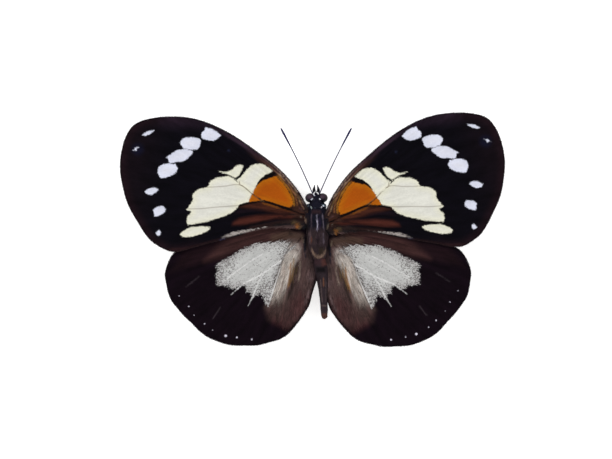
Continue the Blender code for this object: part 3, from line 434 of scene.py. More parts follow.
# Colours of the body from above: soft areas and soft lines, as on the wings.
BODY_AREAS = [
    # The rear of the chest, the patch behind the collar, the chest's sides, its rear shield.
    ([(-3.4, 0.9), (3.4, 0.9), (3.2, -6.4), (-3.0, -6.4)], -0.9, 0.9, 0.95, "45363a"),
    ([(-1.1, 4.95), (0.8, 4.95), (0.9, 4.2), (-1.2, 4.2)], -0.4, 0.4, 0.65, "432b2d"),
    ([(-3.2, 3.9), (-1.8, 3.9), (-1.8, 0.4), (-3.2, 0.4)], -0.4, 0.4, 0.8, "2c2224"),
    ([(1.9, 3.9), (3.2, 3.9), (3.2, 0.4), (1.9, 0.4)], -0.4, 0.4, 0.7, "221c1e"),
    ([(-0.9, -3.0), (1.6, -3.0), (1.5, -4.6), (0.2, -5.5), (-0.6, -4.8)], -0.3, 0.4, 0.7, "32272a"),
    ([(0.5, -3.6), (1.5, -3.4), (1.2, -4.9), (0.5, -5.1)], -0.3, 0.3, 0.7, "514233"),
    # The abdomen: all of it, its reddish front, the black behind that, and the tail.
    ([(-1.6, -5.9), (3.2, -5.9), (3.2, -20.5), (-1.6, -20.5)], -0.2, 0.6, 0.95, "33282d"),
    ([(-0.9, -5.8), (1.2, -5.8), (1.2, -7.6), (-0.6, -7.6)], -0.3, 0.5, 0.7, "3c262b"),
    ([(0.9, -5.8), (2.5, -5.8), (2.4, -7.5), (1.0, -7.8)], -0.3, 0.5, 0.75, "5c3630"),
    ([(-0.1, -8.0), (1.8, -8.0), (1.8, -9.0), (0.0, -9.0)], -0.5, 0.3, 1.0, "0d070b"),
    ([(-0.3, -9.8), (0.9, -9.8), (1.25, -16.5), (0.6, -16.5)], -0.3, 0.4, 0.75, "241a1e"),
    ([(0.9, -18.3), (2.5, -18.3), (2.5, -19.9), (0.9, -19.9)], -0.3, 0.3, 0.5, "6a4032"),
]
BODY_STROKES = [
    # Pale stripes along the chest, with a violet gleam beside the middle one.
    ([(-0.09, 4.1), (0.0, 2.6), (0.12, 0.4)], 0.1, 0.95, "8d8699"),
    ([(0.03, 2.9), (0.1, 1.0)], 0.11, 1.0, "bbb3c8"),
    ([(-1.25, 4.2), (-1.27, 2.6), (-1.27, 0.9)], 0.16, 0.75, "594c58"),
    ([(1.18, 4.2), (1.35, 2.4), (1.56, 0.4)], 0.16, 0.9, "786d7c"),
    ([(0.55, 3.4), (0.62, 1.8), (0.5, 0.6)], 0.2, 0.5, "36284a"),
    # Small greyish and reddish touches on the crown.
    ([(-0.72, 7.6), (-0.68, 7.1)], 0.09, 0.8, "4c4854"), ([(-1.3, 7.0), (-1.2, 6.8)], 0.09, 0.7, "4c2630"),
    ([(0.75, 7.1), (0.85, 6.8)], 0.08, 0.7, "4a3238"), ([(0.2, 7.1), (-0.1, 6.5)], 0.14, 0.6, "2a2434"),
    # Streaks on the brown rear of the chest.
    ([(-1.5, 0.6), (-1.45, -2.6)], 0.24, 0.8, "6a5659"),
    ([(-1.25, -0.8), (-1.25, -2.4)], 0.13, 0.8, "80503f"),
    ([(1.4, 0.0), (1.45, -2.7)], 0.2, 0.75, "6a5d69"), ([(0.1, -0.2), (0.2, -2.8)], 0.36, 0.75, "24161f"),
    ([(-2.1, 0.6), (-2.2, -3.4)], 0.18, 0.6, "221819"), ([(2.05, 0.4), (2.05, -3.4)], 0.18, 0.6, "2a1e22"),
    ([(-0.6, 0.4), (-0.6, -2.4)], 0.15, 0.5, "51403f"), ([(0.85, 0.2), (0.8, -2.6)], 0.13, 0.5, "453741"),
    # The pale rim of the rear shield, and the black notches beside it, which are painted shadow where the
    # chest meets the hindwings.
    ([(-1.25, -3.3), (-0.95, -4.3), (-0.5, -5.1), (0.05, -5.5), (0.8, -5.45), (1.5, -4.85), (1.92, -3.6)],
     0.24, 0.9, "947a6a"), ([(-0.3, -5.35), (0.4, -5.6)], 0.2, 0.8, "a58a78"),
    # Painted shadow: the two black notches at the chest's sides.
    ([(-2.6, -1.2), (-2.3, -3.6)], 0.3, 0.8, "0f0f14"), ([(2.5, -2.6), (2.3, -4.6)], 0.3, 0.8, "0f0f14"),
    # Pale tips of the lobes over the wing roots.
    ([(-2.9, 3.6), (-2.65, 2.9), (-2.5, 2.0)], 0.26, 0.85, "8a7060"),
    ([(-3.1, 3.9), (-2.95, 3.3)], 0.17, 0.9, "b3a8a0"),
    ([(2.6, 2.0), (2.4, 1.2), (2.35, 0.5)], 0.24, 0.85, "6f6052"),
    ([(2.7, 2.0), (2.55, 1.5)], 0.13, 0.9, "a09a8e"),
    # A rusty streak and two grey ones on the abdomen, and a paler ring near its end.
    ([(1.45, -10.2), (1.5, -12.4)], 0.15, 0.6, "87583f"),
    ([(0.75, -10.6), (1.2, -16.0)], 0.16, 0.5, "665555"),
    ([(2.0, -10.6), (2.0, -16.0)], 0.14, 0.4, "5f5050"), ([(0.9, -16.5), (2.3, -16.7)], 0.16, 0.5, "75625c"),
]
# White and bluish patches of scales on the head and collar: path, half width, colour.
BODY_MARKS = [
    ([(-0.31, 9.2), (-0.8, 8.74)], 0.08, "ffffff"), ([(-0.81, 8.74), (-0.79, 8.64)], 0.12, "ffffff"),
    ([(-0.76, 8.56), (-0.54, 8.22)], 0.07, "f0f2ff"), ([(-0.25, 9.2), (0.2, 8.78)], 0.08, "ffffff"),
    ([(0.22, 8.74), (0.32, 8.68)], 0.12, "ffffff"), ([(-0.3, 9.36), (-0.24, 9.3)], 0.09, "c0c2e0"),
    ([(-1.3, 7.34), (-0.98, 7.58)], 0.09, "e4e8f4"), ([(0.54, 7.56), (0.76, 7.42)], 0.11, "eef0f8"),
    ([(-2.06, 6.36), (-2.3, 6.1), (-2.1, 5.86), (-1.84, 6.06), (-2.0, 6.34)], 0.06, "535d68"),
    ([(-1.36, 5.82), (-1.24, 5.42)], 0.12, "a8b2b2"), ([(-0.5, 5.56), (-0.4, 5.5)], 0.08, "3a4054"),
    ([(1.1, 6.22), (1.6, 6.2), (1.95, 5.95), (1.88, 5.7)], 0.06, "5e6e7a"),
    ([(1.36, 6.02), (1.52, 5.98)], 0.14, "d8dce8"), ([(0.94, 5.7), (1.06, 5.62)], 0.14, "e4e0e8"),
]

# Coat of the body: name, front and rear y, number, shortest and longest tuft, width, lift.
COATS = [
    ("head_hair", 9.1, 6.3, 3000, 0.2, 0.4, 0.08, 0.5),
    ("collar_hair", 6.3, 3.9, 4200, 0.35, 0.7, 0.09, 0.3),
    ("thorax_hair", 4.0, -5.6, 11000, 0.6, 1.4, 0.085, 0.3),
    ("abdomen_hair", -5.4, -19.3, 9000, 0.28, 0.55, 0.08, 0.22),
]
# Tufts of the body's coat in one lock, and how far its members stray along and around.
COAT_LOCK = 8
COAT_SPREAD = (0.14, 0.07)
# How far locks and single tufts turn aside.
COAT_STRAY = (0.13, 0.07)
# Where the sides of the body turn from its lower to its upper colours.
SIDE_FADE = (-0.1, 0.35)
# Tufts by a mark: the share of their length that stays, how near they stand, and above what height.
SHORTENED = 0.4
MARK_MARGIN = 0.15
MARKS_ABOVE = 8.0
LOBE_SIDES = 40
LOBE_TUFTS = 420
MARK_DENSITY = 330.0

ANTENNA_MIDDLE = -0.2
ANTENNA_BASE = (0.92, 8.6, 8.5)
ANTENNA_TIP = (7.97, 23.4, 12.2)
ANTENNA_BOW = 0.25
ANTENNA_RADII = [(0.0, 0.15), (0.05, 0.13), (0.7, 0.13), (0.8, 0.2), (0.93, 0.26), (0.985, 0.2), (1.0, 0.06)]
ANTENNA_JOINTS = 46
PALP_POINTS = [(0.42, 8.2, 7.0), (0.5, 9.0, 6.95), (0.5, 9.5, 7.4), (0.42, 10.0, 8.2), (0.3, 10.55, 9.0)]
# How far the tips of both lean aside.
PALP_LEAN = -0.1
PALP_TUFTS = 560
PALP_RADII = [0.3, 0.38, 0.33, 0.18, 0.05]
COIL_CENTRE = (8.5, 5.95)
COIL_OUTER = 0.72
COIL_INNER = 0.14
COIL_TURNS = 2.6
COIL_START = 140.0
COIL_RADII = (0.15, 0.07)
COIL_ROOT = (8.0, 7.3)

WALKING_LEGS = {
    "midleg": [(1.0, 1.2, 5.6), (5.3, 3.6, 6.4), (7.6, 5.8, 1.1), (10.0, 8.0, 0.2)],
    "hindleg": [(1.0, -3.2, 5.8), (4.9, -6.6, 6.3), (6.5, -10.4, 1.1), (7.4, -13.9, 0.2)],
}
FORELEG = [(0.7, 4.2, 5.7), (1.3, 5.0, 4.3), (1.5, 6.6, 4.5), (1.25, 5.9, 3.7)]
TARSUS_JOINTS = 5
# How far along the foot its joints reach, and where the claws are rooted.
FOOT_SHARE = 0.92
CLAW_ROOT = 0.93
CLAW_LENGTH = 0.34
CLAW_RADIUS = 0.06
# Spines of the shin: from where to where, how many in a row, and their radius.
SPINE_REACH = (0.25, 0.95)
SPINE_COUNT = 9
SPINE_RADIUS = 0.035
FEMUR_PROFILE = [(0.0, 0.3), (0.2, 0.42), (0.6, 0.36), (0.95, 0.26), (1.0, 0.2)]
TIBIA_PROFILE = [(0.0, 0.2), (0.08, 0.27), (0.4, 0.26), (0.85, 0.22), (1.0, 0.26)]
TARSUS_PROFILE = [(0.0, 0.13), (0.2, 0.18), (0.8, 0.2), (1.0, 0.15)]

# The picture: its width in millimetres at the wings' height, its middle, and that height.
PICTURE_WIDTH = 137.7
PICTURE_MIDDLE = (-2.48, 0.56)
WING_HEIGHT = 11.0
CAMERA_HEIGHT = 2500.0
FLOOR_GLOW = 0.5
FLOOR_SIZE = 6.0
ROOM_LIGHT = 0.9
# Each lamp: name, place and size in metres, and power in watts.
LAMPS = [
    ("key", (-0.35, 0.3, 0.6), 0.22, 1.7),
    ("fill", (0.4, -0.2, 0.55), 0.5, 0.7),
]

SUFFIX = {-1: "_l", 1: "_r"}


# Places and outlines

def table_origin():
    """Where the tables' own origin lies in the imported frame, read off two of its solids."""
    tongue_low, tongue_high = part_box("proboscis")
    chest_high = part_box("thorax")[1]
    middle = (tongue_low.x + tongue_high.x) / 2
    return np.array((middle - HEAD_X * MM, chest_high.y - CHEST_FRONT * MM, 0.0))


def smooth_path(knots, step):
    """Points one step apart along a smooth curve through the knots."""
    knots = np.array(knots, float)
    lean = np.vstack([knots[1] - knots[0], knots[2:] - knots[:-2], knots[-1] - knots[-2]])
    lean /= np.linalg.norm(lean, axis=1)[:, None]
    t = np.linspace(0.0, 1.0, BEZIER_POINTS)[1:, None]
    curve = [knots[:1]]
    for start, end, leave, arrive in zip(knots, knots[1:], lean, lean[1:]):
        reach = np.linalg.norm(end - start) / 3
        first = start + leave * reach
        second = end - arrive * reach
        curve.append((1 - t) ** 3 * start + 3 * (1 - t) ** 2 * t * first
                     + 3 * (1 - t) * t ** 2 * second + t ** 3 * end)
    curve = np.vstack(curve)
    walked = np.concatenate([[0.0], np.cumsum(np.linalg.norm(np.diff(curve, axis=0), axis=1))])
    stops = np.linspace(0.0, walked[-1], max(2, round(walked[-1] / step) + 1))
    return np.column_stack([np.interp(stops, walked, column) for column in curve.T])


def distance_to_lines(points, lines):
    """Distance from each flat point to the nearest of some polylines."""
    nearest = np.full(len(points), np.inf)
    for line in lines:
        for start, end in zip(line, line[1:]):
            along = end - start
            part = np.clip((points - start) @ along / max(along @ along, 1e-12), 0.0, 1.0)
            gap = points - start - part[:, None] * along
            nearest = np.minimum(nearest, np.hypot(gap[:, 0], gap[:, 1]))
    return nearest


def depth_inside(points, outline):
    """How deep each flat point lies inside a closed outline, negative outside it."""
    outline = np.array(outline, float)
    closed = np.vstack([outline, outline[:1]])
    within = np.zeros(len(points), bool)
    for (ax, ay), (bx, by) in zip(closed, closed[1:]):
        if ay != by:
            spans = (ay > points[:, 1]) != (by > points[:, 1])
            level = ax + (points[:, 1] - ay) / (by - ay) * (bx - ax)
            within ^= spans & (points[:, 0] < level)
    distance = distance_to_lines(points, [closed])
    return np.where(within, distance, -distance)


def deepest(points, outlines):
    """Depth inside whichever outline holds each point best."""
    return np.max([depth_inside(points, outline) for outline in outlines], axis=0)


def fade(value, start, end):
    """Smooth share from 0 at start to 1 at end."""
    part = np.clip((value - start) / (end - start), 0.0, 1.0)
    return part * part * (3 - 2 * part)


# Colours

def albedo(code):
    """Linear colour of a surface that looks as the six hex digits say under this light."""
    seen = np.array([int(code[i:i + 2], 16) / 255 for i in (0, 2, 4)])
    linear = np.where(seen <= 0.04045, seen / 12.92, ((seen + 0.055) / 1.055) ** 2.4)
    return linear / LIGHT_LEVEL


def with_alpha(code):
    return (*albedo(code), 1.0)


def paint(ground, share, code):
    """Blend a colour over the ground by a share at each point."""
    return ground + (albedo(code) - ground) * np.reshape(share, (-1, 1))


def draw(ground, flat, areas, strokes):
    """Paint soft areas and then soft lines, tapered at both ends, over the ground."""
    for outline, start, full, strength, code in areas:
        ground = paint(ground, strength * fade(depth_inside(flat, outline), start, full), code)
    for path, half_width, strength, code in strokes:
        line = smooth_path(path, STROKE_STEP)
        gap = distance_to_lines(flat, [line])
        for end in (line[0], line[-1]):
            gap = gap + TAPER * half_width * fade(np.hypot(*(flat - end).T), 3 * half_width, 0.0)
        ground = paint(ground, strength * fade(gap, 1.5 * half_width, 0.5 * half_width), code)
    return ground


# Meshes

class Shape:
    """Points, faces and what rides on them, gathered into one mesh."""

    def __init__(self):
        self.points = []
        self.faces = []
        self.tints = []
        self.patches = []
        self.count = 0

    def add(self, points, faces, tints, patches=None):
        self.faces += (np.array(faces) + self.count).tolist()
        self.points.append(points)
        self.tints.append(np.broadcast_to(tints, (len(points), 3)))
        if patches is not None:
            self.patches.append(patches)
        self.count += len(points)

    def finish(self, name, material):
        piece = new_piece(name, np.vstack(self.points), self.faces, [material])
        set_attribute(piece.data, "tint", np.vstack(self.tints))
        if self.patches:
            set_map(piece.data, np.vstack(self.patches))
        return piece


def new_piece(name, points, faces, materials):
    """A smooth mesh object from points in table millimetres."""
    mesh = bpy.data.meshes.new(name)
    mesh.from_pydata((points * MM + ORIGIN).tolist(), [], faces)
    for material in materials:
        mesh.materials.append(material)
    mesh.shade_smooth()
    piece = bpy.data.objects.new(name, mesh)
    bpy.context.scene.collection.objects.link(piece)
    return piece


def set_attribute(mesh, name, values):
    """Store a number, a vector or a colour at each point of a mesh."""
    values = np.asarray(values, np.float32)
    if values.ndim == 1:
        kind, key = "FLOAT", "value"
    elif name in ("flat", "lie"):
        kind, key = "FLOAT_VECTOR", "vector"
    else:
        kind, key = "FLOAT_COLOR", "color"
        values = np.column_stack([values, np.ones(len(values), np.float32)])
    mesh.attributes.new(name, kind, "POINT").data.foreach_set(key, values.ravel())


def set_map(mesh, places):
    """The mesh's own texture map, from one place for each point."""
    corners = np.zeros(len(mesh.loops), np.int32)
    mesh.loops.foreach_get("vertex_index", corners)
    layer = mesh.uv_layers.new(name="OFBake")
    layer.data.foreach_set("uv", np.asarray(places, np.float32)[corners].ravel())


def settle(piece, slot, *nodes):
    """Let a piece ride with the model, in place of the solids that it stands for."""
    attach(piece, "root")
    if nodes:
        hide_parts(*nodes)


def ring_faces(rings, sides):
    """Triangles between each ring of points and the next."""
    faces = []
    for ring in range(rings - 1):
        for k in range(sides):
            a = ring * sides + k
            b = ring * sides + (k + 1) % sides
            faces += [(a, b, b + sides), (a, b + sides, a + sides)]
    return faces


def tube(points, radii, sides):
    """Points and faces of a closed round tube along a path."""
    points = np.array(points, float)
    ahead = np.gradient(points, axis=0)
    ahead /= np.linalg.norm(ahead, axis=1)[:, None]
    across = np.cross(ahead[0], (0.3, 0.2, 0.93))
    rings = []
    for place, way, radius in zip(points, ahead, radii):
        across = across - way * (across @ way)
        across /= np.linalg.norm(across)
        up = np.cross(way, across)
        angles = 2 * math.pi * np.arange(sides) / sides
        rings.append(place + radius * (np.outer(np.cos(angles), across) + np.outer(np.sin(angles), up)))
    faces = ring_faces(len(points), sides)
    first, last = len(points) * sides, len(points) * sides + 1
    for k in range(sides):
        n = (k + 1) % sides
        faces.append((first, n, k))
        faces.append((last, last - 1 - sides + k, last - 1 - sides + n))
    return np.vstack(rings + [points[:1], points[-1:]]), faces


def along_table(table, parts):
    """Values at shares of a length, from a short table of (share, value)."""
    return np.interp(parts, [share for share, _ in table], [value for _, value in table])


def unit(vectors):
    return vectors / np.linalg.norm(vectors, axis=1)[:, None]


def tufts(roots, ways, ups, lengths, widths, tints, patches, lift, rng):
    """Many closed, tapered, slightly bent tufts of hair or scales.

    Each starts sunk in the skin, lies along its way and rises by lift.
    Returns points, faces, tints and texture places.
    """
    count = len(roots)
    sides = unit(np.cross(ways, ups))
    bend = rng.normal(0.0, TUFT_BEND, count)
    rings = []
    for stop, share in zip(TUFT_STOPS, TUFT_SHARES):
        middle = tuft_line(roots, ways, ups, sides, lengths, lift, bend, stop)
        half = (widths * share / 2)[:, None]
        rings += [middle - sides * half, middle + sides * half, middle + ups * half * 0.7]
    rings.append(tuft_line(roots, ways, ups, sides, lengths, lift, bend, 1.0))
    points = np.stack(rings, axis=1).reshape(-1, 3)
    each = [(0, 2, 1)]
    for base in (0, 3):
        for k in range(3):
            n = (k + 1) % 3
            each += [(base + k, base + n, base + 3 + n), (base + k, base + 3 + n, base + 3 + k)]
    each += [(6 + k, 6 + (k + 1) % 3, 9) for k in range(3)]
    faces = (np.array(each)[None] + 10 * np.arange(count)[:, None, None]).reshape(-1, 3)
    # Painted shade and light: each tuft darker at its root and lighter at its tip.
    shade = np.append(np.repeat(TUFT_PAINTED_SHADE, 3), TIP_PAINTED_LIGHT)
    coloured = (tints[:, None, :] * shade[None, :, None]).reshape(-1, 3)
    patch = np.array([(PATCH_ACROSS * k, PATCH_ALONG * ring) for ring in range(3) for k in range(3)]
                     + [(PATCH_ACROSS, PATCH_TIP)])
    mapped = (patches[:, None, :] + patch[None]).reshape(-1, 2)
    return points, faces, coloured, mapped


def tuft_line(roots, ways, ups, sides, lengths, lift, bend, stop):
    """The middle line of every tuft at one share of its length."""
    forward = lengths * stop
    rise = lengths * lift * (stop - TUFT_SETTLING * stop ** 2) - TUFT_SUNK
    aside = lengths * bend * stop ** 2
    return roots + ways * forward[:, None] + ups * rise[:, None] + sides * aside[:, None]


# Wings

def scalloped(point, tips):
    """A margin point drawn in between the two tips that it lies between."""
    for start, end in zip(tips, tips[1:]):
        start = np.array(start)
        chord = np.array(end) - start
        part = (point - start) @ chord / (chord @ chord)
        inwards = np.array((chord[1], -chord[0])) / np.linalg.norm(chord)
        if 0.0 < part < 1.0 and abs((point - start) @ inwards) < SCALLOP_REACH:
            return point + inwards * SCALLOP_DEPTH * math.sin(math.pi * part) ** 2
    return point


def vein_lines(veins):
    """The veins' middle lines, each branch starting on the vein that it leaves."""
    lines = []
    for vein in veins:
        line = smooth_path(vein, VEIN_STEP)
        for end in (0, -1):
            earlier = [point for other in lines for point in other]
            gaps = [np.linalg.norm(point - line[end]) for point in earlier]
            if gaps and min(gaps) < VEIN_JOIN:
                line[end] = earlier[int(np.argmin(gaps))]
        lines.append(line)
    return lines


def field_points(outline, lines):
    """Places between the veins on a triangular grid, clear of the margin and the veins."""
    low = outline.min(axis=0)
    high = outline.max(axis=0)
    row_step = FIELD_STEP * math.sqrt(3) / 2
    row_count = int((high[1] - low[1]) / row_step) + 1
    column_count = int((high[0] - low[0]) / FIELD_STEP) + 1
    rows, columns = np.mgrid[0:row_count, 0:column_count]
    x = low[0] + (columns + 0.5 * (rows % 2)) * FIELD_STEP
    y = low[1] + rows * row_step
    points = np.column_stack([x.ravel(), y.ravel()])
    points = points[depth_inside(points, outline) > FIELD_EDGE]
    return points[distance_to_lines(points, lines) > FIELD_CLEARANCE * VEIN_HALF_WIDTH]


def wing_sheet(edge, veins, tips, inset):
    """A fine flat triangulation of a wing, drawn in from its outline by an inset.

    Returns its points, its triangles, the indices along its margin and how far each
    point belongs to a vein.
    """
    outline = np.array([scalloped(point, tips) for point in smooth_path(edge, EDGE_STEP)])
    outline += outward_normals(outline, outline.mean(axis=0)) * -inset
    lines = vein_lines(veins)
    groups = [outline]
    ridge = [np.zeros(len(outline))]
    seams = [(i, (i + 1) % len(outline)) for i in range(len(outline))]
    count = len(outline)
    for line in lines:
        line = line[depth_inside(line, outline) > VEIN_INSET]
        seams += [(count + i, count + i + 1) for i in range(len(line) - 1)]
        groups.append(line)
        ridge.append(np.ones(len(line)))
        count += len(line)
    for line in lines:
        along = unit(np.gradient(line, axis=0))
        across = np.column_stack([-along[:, 1], along[:, 0]]) * VEIN_HALF_WIDTH
        others = [other for other in lines if other is not line]
        for border in (line + across, line - across):
            clear = distance_to_lines(border, others) > VEIN_CLEARANCE
            kept = border[clear & (depth_inside(border, outline) > VEIN_CLEARANCE)]
            groups.append(kept)
            ridge.append(np.zeros(len(kept)))
    field = field_points(outline, lines)
    groups.append(field)
    ridge = np.concatenate(ridge + [np.zeros(len(field))])
    points = [Vector(point) for point in np.vstack(groups)]
    places, _, triangles, sources, _, _ = delaunay_2d_cdt(points, seams, [], 1, SAME_POINT)
    weights = np.array([max((ridge[i] for i in source), default=0.0) for source in sources])
    order = {}
    for new, source in enumerate(sources):
        for old in source:
            if old < len(outline):
                order[old] = new
    margin = [order[i] for i in range(len(outline))]
    return np.array([tuple(place) for place in places]), np.array(triangles), np.array(margin), weights


def outward_normals(line, middle):
    """Unit normals of a flat line that point away from a middle place."""
    along = unit(np.gradient(line, axis=0))
    across = np.column_stack([-along[:, 1], along[:, 0]])
    turn = np.sign(np.median(np.sum(across * (line - middle), axis=1)))
    return across * turn


def wing_turn(name):
    side = WING_PLACES[name][0]
    dihedral, twist = SIDE_TILT[side]
    return np.array(Euler((math.radians(twist), -side * math.radians(dihedral), 0.0)).to_matrix())


def on_wing(name, flat, rise):
    """Carry flat wing points to their place, at a rise over the wing's middle surface."""
    side, layer, sweep, size, shift = WING_PLACES[name]
    turn = math.radians(sweep)
    x = size * (flat[:, 0] * math.cos(turn) - flat[:, 1] * math.sin(turn)) + shift[0]
    y = size * (flat[:, 0] * math.sin(turn) + flat[:, 1] * math.cos(turn)) + shift[1]
    arch = ARCH_RISE * (1 - ((x - ARCH_MIDDLE) / ARCH_MIDDLE) ** 2)
    z = layer * LAYER + arch - CHORD_FALL * (y / CHORD_REACH) ** 2 + rise
    return np.column_stack([side * x, y, z]) @ wing_turn(name).T + (0.0, 0.0, SHOULDER_HEIGHT)


def drawn_places(name, flat):
    """Where on the flat drawing each flat place of one wing lies."""
    if name not in DRAWING_PLACES:
        return flat
    turn, size, shift = DRAWING_PLACES[name]
    x, y = flat.T
    across, ahead = math.cos(math.radians(turn)), math.sin(math.radians(turn))
    return size * np.column_stack([x * across - y * ahead, x * ahead + y * across]) + shift


def streak_places(flat, root):
    """Places that run along the wing, so that a texture drawn on them streaks outwards."""
    out = flat - np.array(root)
    distance = np.hypot(out[:, 0], out[:, 1])
    angle = np.arctan2(out[:, 1], out[:, 0])
    return np.column_stack([angle * STREAKS_ACROSS, distance * STREAKS_ALONG, np.zeros(len(flat))])


def forewing_ground(flat, drawn):
    """Colour of the forewing's upper side under its markings."""
    x, y = drawn.T
    edge = depth_inside(flat, smooth_path(FOREWING_EDGE, 1.0))
    ground = np.tile(albedo("08060d"), (len(flat), 1))
    ground = paint(ground, 0.5 * fade(x + 0.2 * y, 36.0, 47.0), "170d12")
    ground = paint(ground, 0.7 * fade(-edge, -2.4, -0.2) * fade(x, 24.0, 32.0), "1f1117")
    ground = paint(ground, 0.6 * fade(y, 22.0, 25.5) * fade(x, 38.0, 33.0), "2a1e2c")
    front = distance_to_lines(flat, [smooth_path(FOREWING_EDGE[:9], 0.5)])
    ground = draw(ground, drawn, FOREWING_AREAS, [])
    for place, half_width, strength, code, reach in FRONT_BANDS:
        band = fade(np.abs(front - place), 1.5 * half_width, 0.5 * half_width)
        ground = paint(ground, strength * band * fade(x, reach, 0.6 * reach), code)
    ground = draw(ground, drawn, [], FOREWING_STROKES)
    # Painted sheen: a blue haze round the small white spot near the wing's tip.
    blue = fade(np.hypot(x - BLUE_SHEEN_MIDDLE[0], y - BLUE_SHEEN_MIDDLE[1]), 2.0, 0.5)
    ground = paint(ground, 0.6 * blue, "12142a")
    faint = fade(np.hypot(x - FAINT_DOT[0], y - FAINT_DOT[1]), 0.45, 0.1)
    return paint(ground, 0.6 * faint, "20243a")


def forewing_under(flat):
    """Colour of the forewing's underside under its markings."""
    x, y = flat.T
    ground = np.tile(albedo("1d1216"), (len(flat), 1))
    ground = paint(ground, fade(x + 0.3 * y, 34.0, 48.0), "4a3327")
    ground = paint(ground, 0.8 * fade(x, 14.0, 4.0), "5a3a20")
    return paint(ground, 0.7 * fade(y + 0.15 * x, 3.0, 0.0), "4b4038")


def hindwing_ground(flat, drawn):
    """Colour of the hindwing's upper side under its markings."""
    ground = np.tile(albedo("0f060e"), (len(flat), 1))
    ground = draw(ground, drawn, HINDWING_AREAS, HINDWING_STROKES)
    return draw(ground, flat, [], BLACK_MARGIN)


def hindwing_under(flat):
    """Colour of the hindwing's underside under its markings."""
    ground = np.tile(albedo("2b1d1b"), (len(flat), 1))
    ground = paint(ground, 0.8 * fade(flat[:, 1], -16.0, 2.0), "6a4a2a")
    return paint(ground, 0.8 * fade(depth_inside(flat, INNER_AREA), -1.5, 2.0), "6b5646")


def inside_lines(flat, lines):
    """Depth inside the nearest of some lines, each with its own half width."""
    depths = [half - distance_to_lines(flat, [smooth_path(path, LINE_STEP)]) for path, half in lines]
    return np.max(depths, axis=0)


def black_lines(flat):
    """Depth inside the nearest of the black lines over the markings."""
    return inside_lines(flat, BLACK_LINES)


def dark_thread(flat):
    """Depth inside the thin dark line that bounds the pale patch towards the body."""
    return THREAD_HALF_WIDTH - distance_to_lines(flat, [smooth_path(DARK_THREAD, LINE_STEP)])


def white_lines(flat):
    """Depth inside the nearest of the white lines through the pale patch."""
    return inside_lines(flat, WHITE_LINES)


def margin_dots(flat):
    """Depth inside the nearest of the white dots along the margin."""
    return np.max([radius - np.hypot(flat[:, 0] - x, flat[:, 1] - y) for x, y, radius in MARGIN_DOTS], axis=0)


def pale_dust(flat):
    """How far each place lies inside the part of the pale patch that is free of dark scales."""
    return depth_inside(flat, CLEAR_PART)


# Markings of each kind of wing: attribute, depth on the flat wing, colours above at the
# rim and inside, colour below, raggedness and softness of the edge, and the depth inside
# the part free of dark scales.
FOREWING_MARKS = [
    ("orange", lambda flat: depth_inside(flat, ORANGE_CELL), "b3650f", "ab520c", "8a5524", 0.3, 0.12, None),
    ("cream", lambda flat: deepest(flat, CREAM_SPOTS) - 0.05, "e7e5d0", "e3e2d8", "dcd6c2", 0.26, 0.09, None),
    ("white", lambda flat: deepest(flat, WHITE_SPOTS) - 0.08, "dcdff0", "e1e2ee", "d5d4dc", 0.24, 0.09, None),
    ("shine", lambda flat: deepest(flat, PALE_SHINE), "a29a96", "cac4ba", "8c8072", 0.5, 0.18,
     lambda flat: deepest(flat, PALE_SHINE) - 0.6),
    ("black", black_lines, "0c080a", "0c080a", "2a1a16", 0.22, 0.08, None),
]
HINDWING_MARKS = [
    ("pale", lambda flat: depth_inside(flat, PALE_PATCH) - 0.28, "b4b2b1", "c6c6c4", "c9c6ba", 0.7, 0.14,
     pale_dust),
    ("lines", white_lines, "e0dfde", "eaeae8", "c9c6ba", 0.1, 0.12, None),
    ("thread", dark_thread, "5c524c", "5c524c", "4a3a30", 0.16, 0.1, None),
    ("white", margin_dots, "d9d4e4", "d9d4e4", "d9d4e4", 0.1, 0.08, None),
]


class Wiring:
    """Short forms for adding and linking the nodes of one material."""

    def __init__(self, name):
        self.material = bpy.data.materials.new(name)
        self.material.use_nodes = True
        self.tree = self.material.node_tree
        self.shader = self.tree.nodes["Principled BSDF"]

    def node(self, kind, inputs, **settings):
        made = self.tree.nodes.new(kind)
        for key, value in settings.items():
            setattr(made, key, value)
        for key, value in inputs.items():
            self.feed(made.inputs[key], value)
        return made

    def feed(self, socket, value):
        if isinstance(value, bpy.types.NodeSocket):
            self.tree.links.new(value, socket)
        else:
            socket.default_value = value

    def attribute(self, name, output="Fac"):
        return self.node("ShaderNodeAttribute", {}, attribute_name=name).outputs[output]

    def maths(self, operation, first, second):
        return self.node("ShaderNodeMath", {0: first, 1: second}, operation=operation).outputs[0]

    def mix(self, share, first, second, blend="MIX"):
        inputs = {0: share, 6: first, 7: second}
        return self.node("ShaderNodeMix", inputs, data_type="RGBA", blend_type=blend).outputs[2]

    def spread(self, value, low, high, to_low=0.0, to_high=1.0):
        inputs = {0: value, 1: low, 2: high, 3: to_low, 4: to_high}
        return self.node("ShaderNodeMapRange", inputs).outputs[0]

    def noise(self, place, scale, detail=2.0):
        inputs = {"Vector": place, "Scale": scale, "Detail": detail}
        return self.node("ShaderNodeTexNoise", inputs).outputs[0]

    def cells(self, place, scale, output="Color"):
        inputs = {"Vector": place, "Scale": scale}
        return self.node("ShaderNodeTexVoronoi", inputs).outputs[output]

    def stretch(self, place, factors):
        inputs = {0: place, 1: factors}
        return self.node("ShaderNodeVectorMath", inputs, operation="MULTIPLY").outputs[0]

    def shade(self, colour, factor):
        """Multiply a colour by a number that varies over the surface."""
        return self.node("ShaderNodeVectorMath", {0: colour, "Scale": factor}, operation="SCALE").outputs[0]

    def bump(self, height, distance, strength=1.0):
        inputs = {"Height": height, "Distance": distance * MM, "Strength": strength}
        return self.node("ShaderNodeBump", inputs).outputs[0]

    def finish(self, colour, roughness, specular, normal=None, **constants):
        self.feed(self.shader.inputs["Base Color"], colour)
        self.feed(self.shader.inputs["Roughness"], roughness)
        self.shader.inputs["Specular IOR Level"].default_value = specular
        for key, value in constants.items():
            self.shader.inputs[key.replace("_", " ")].default_value = value
        if normal is not None:
            self.feed(self.shader.inputs["Normal"], normal)
        return self.material


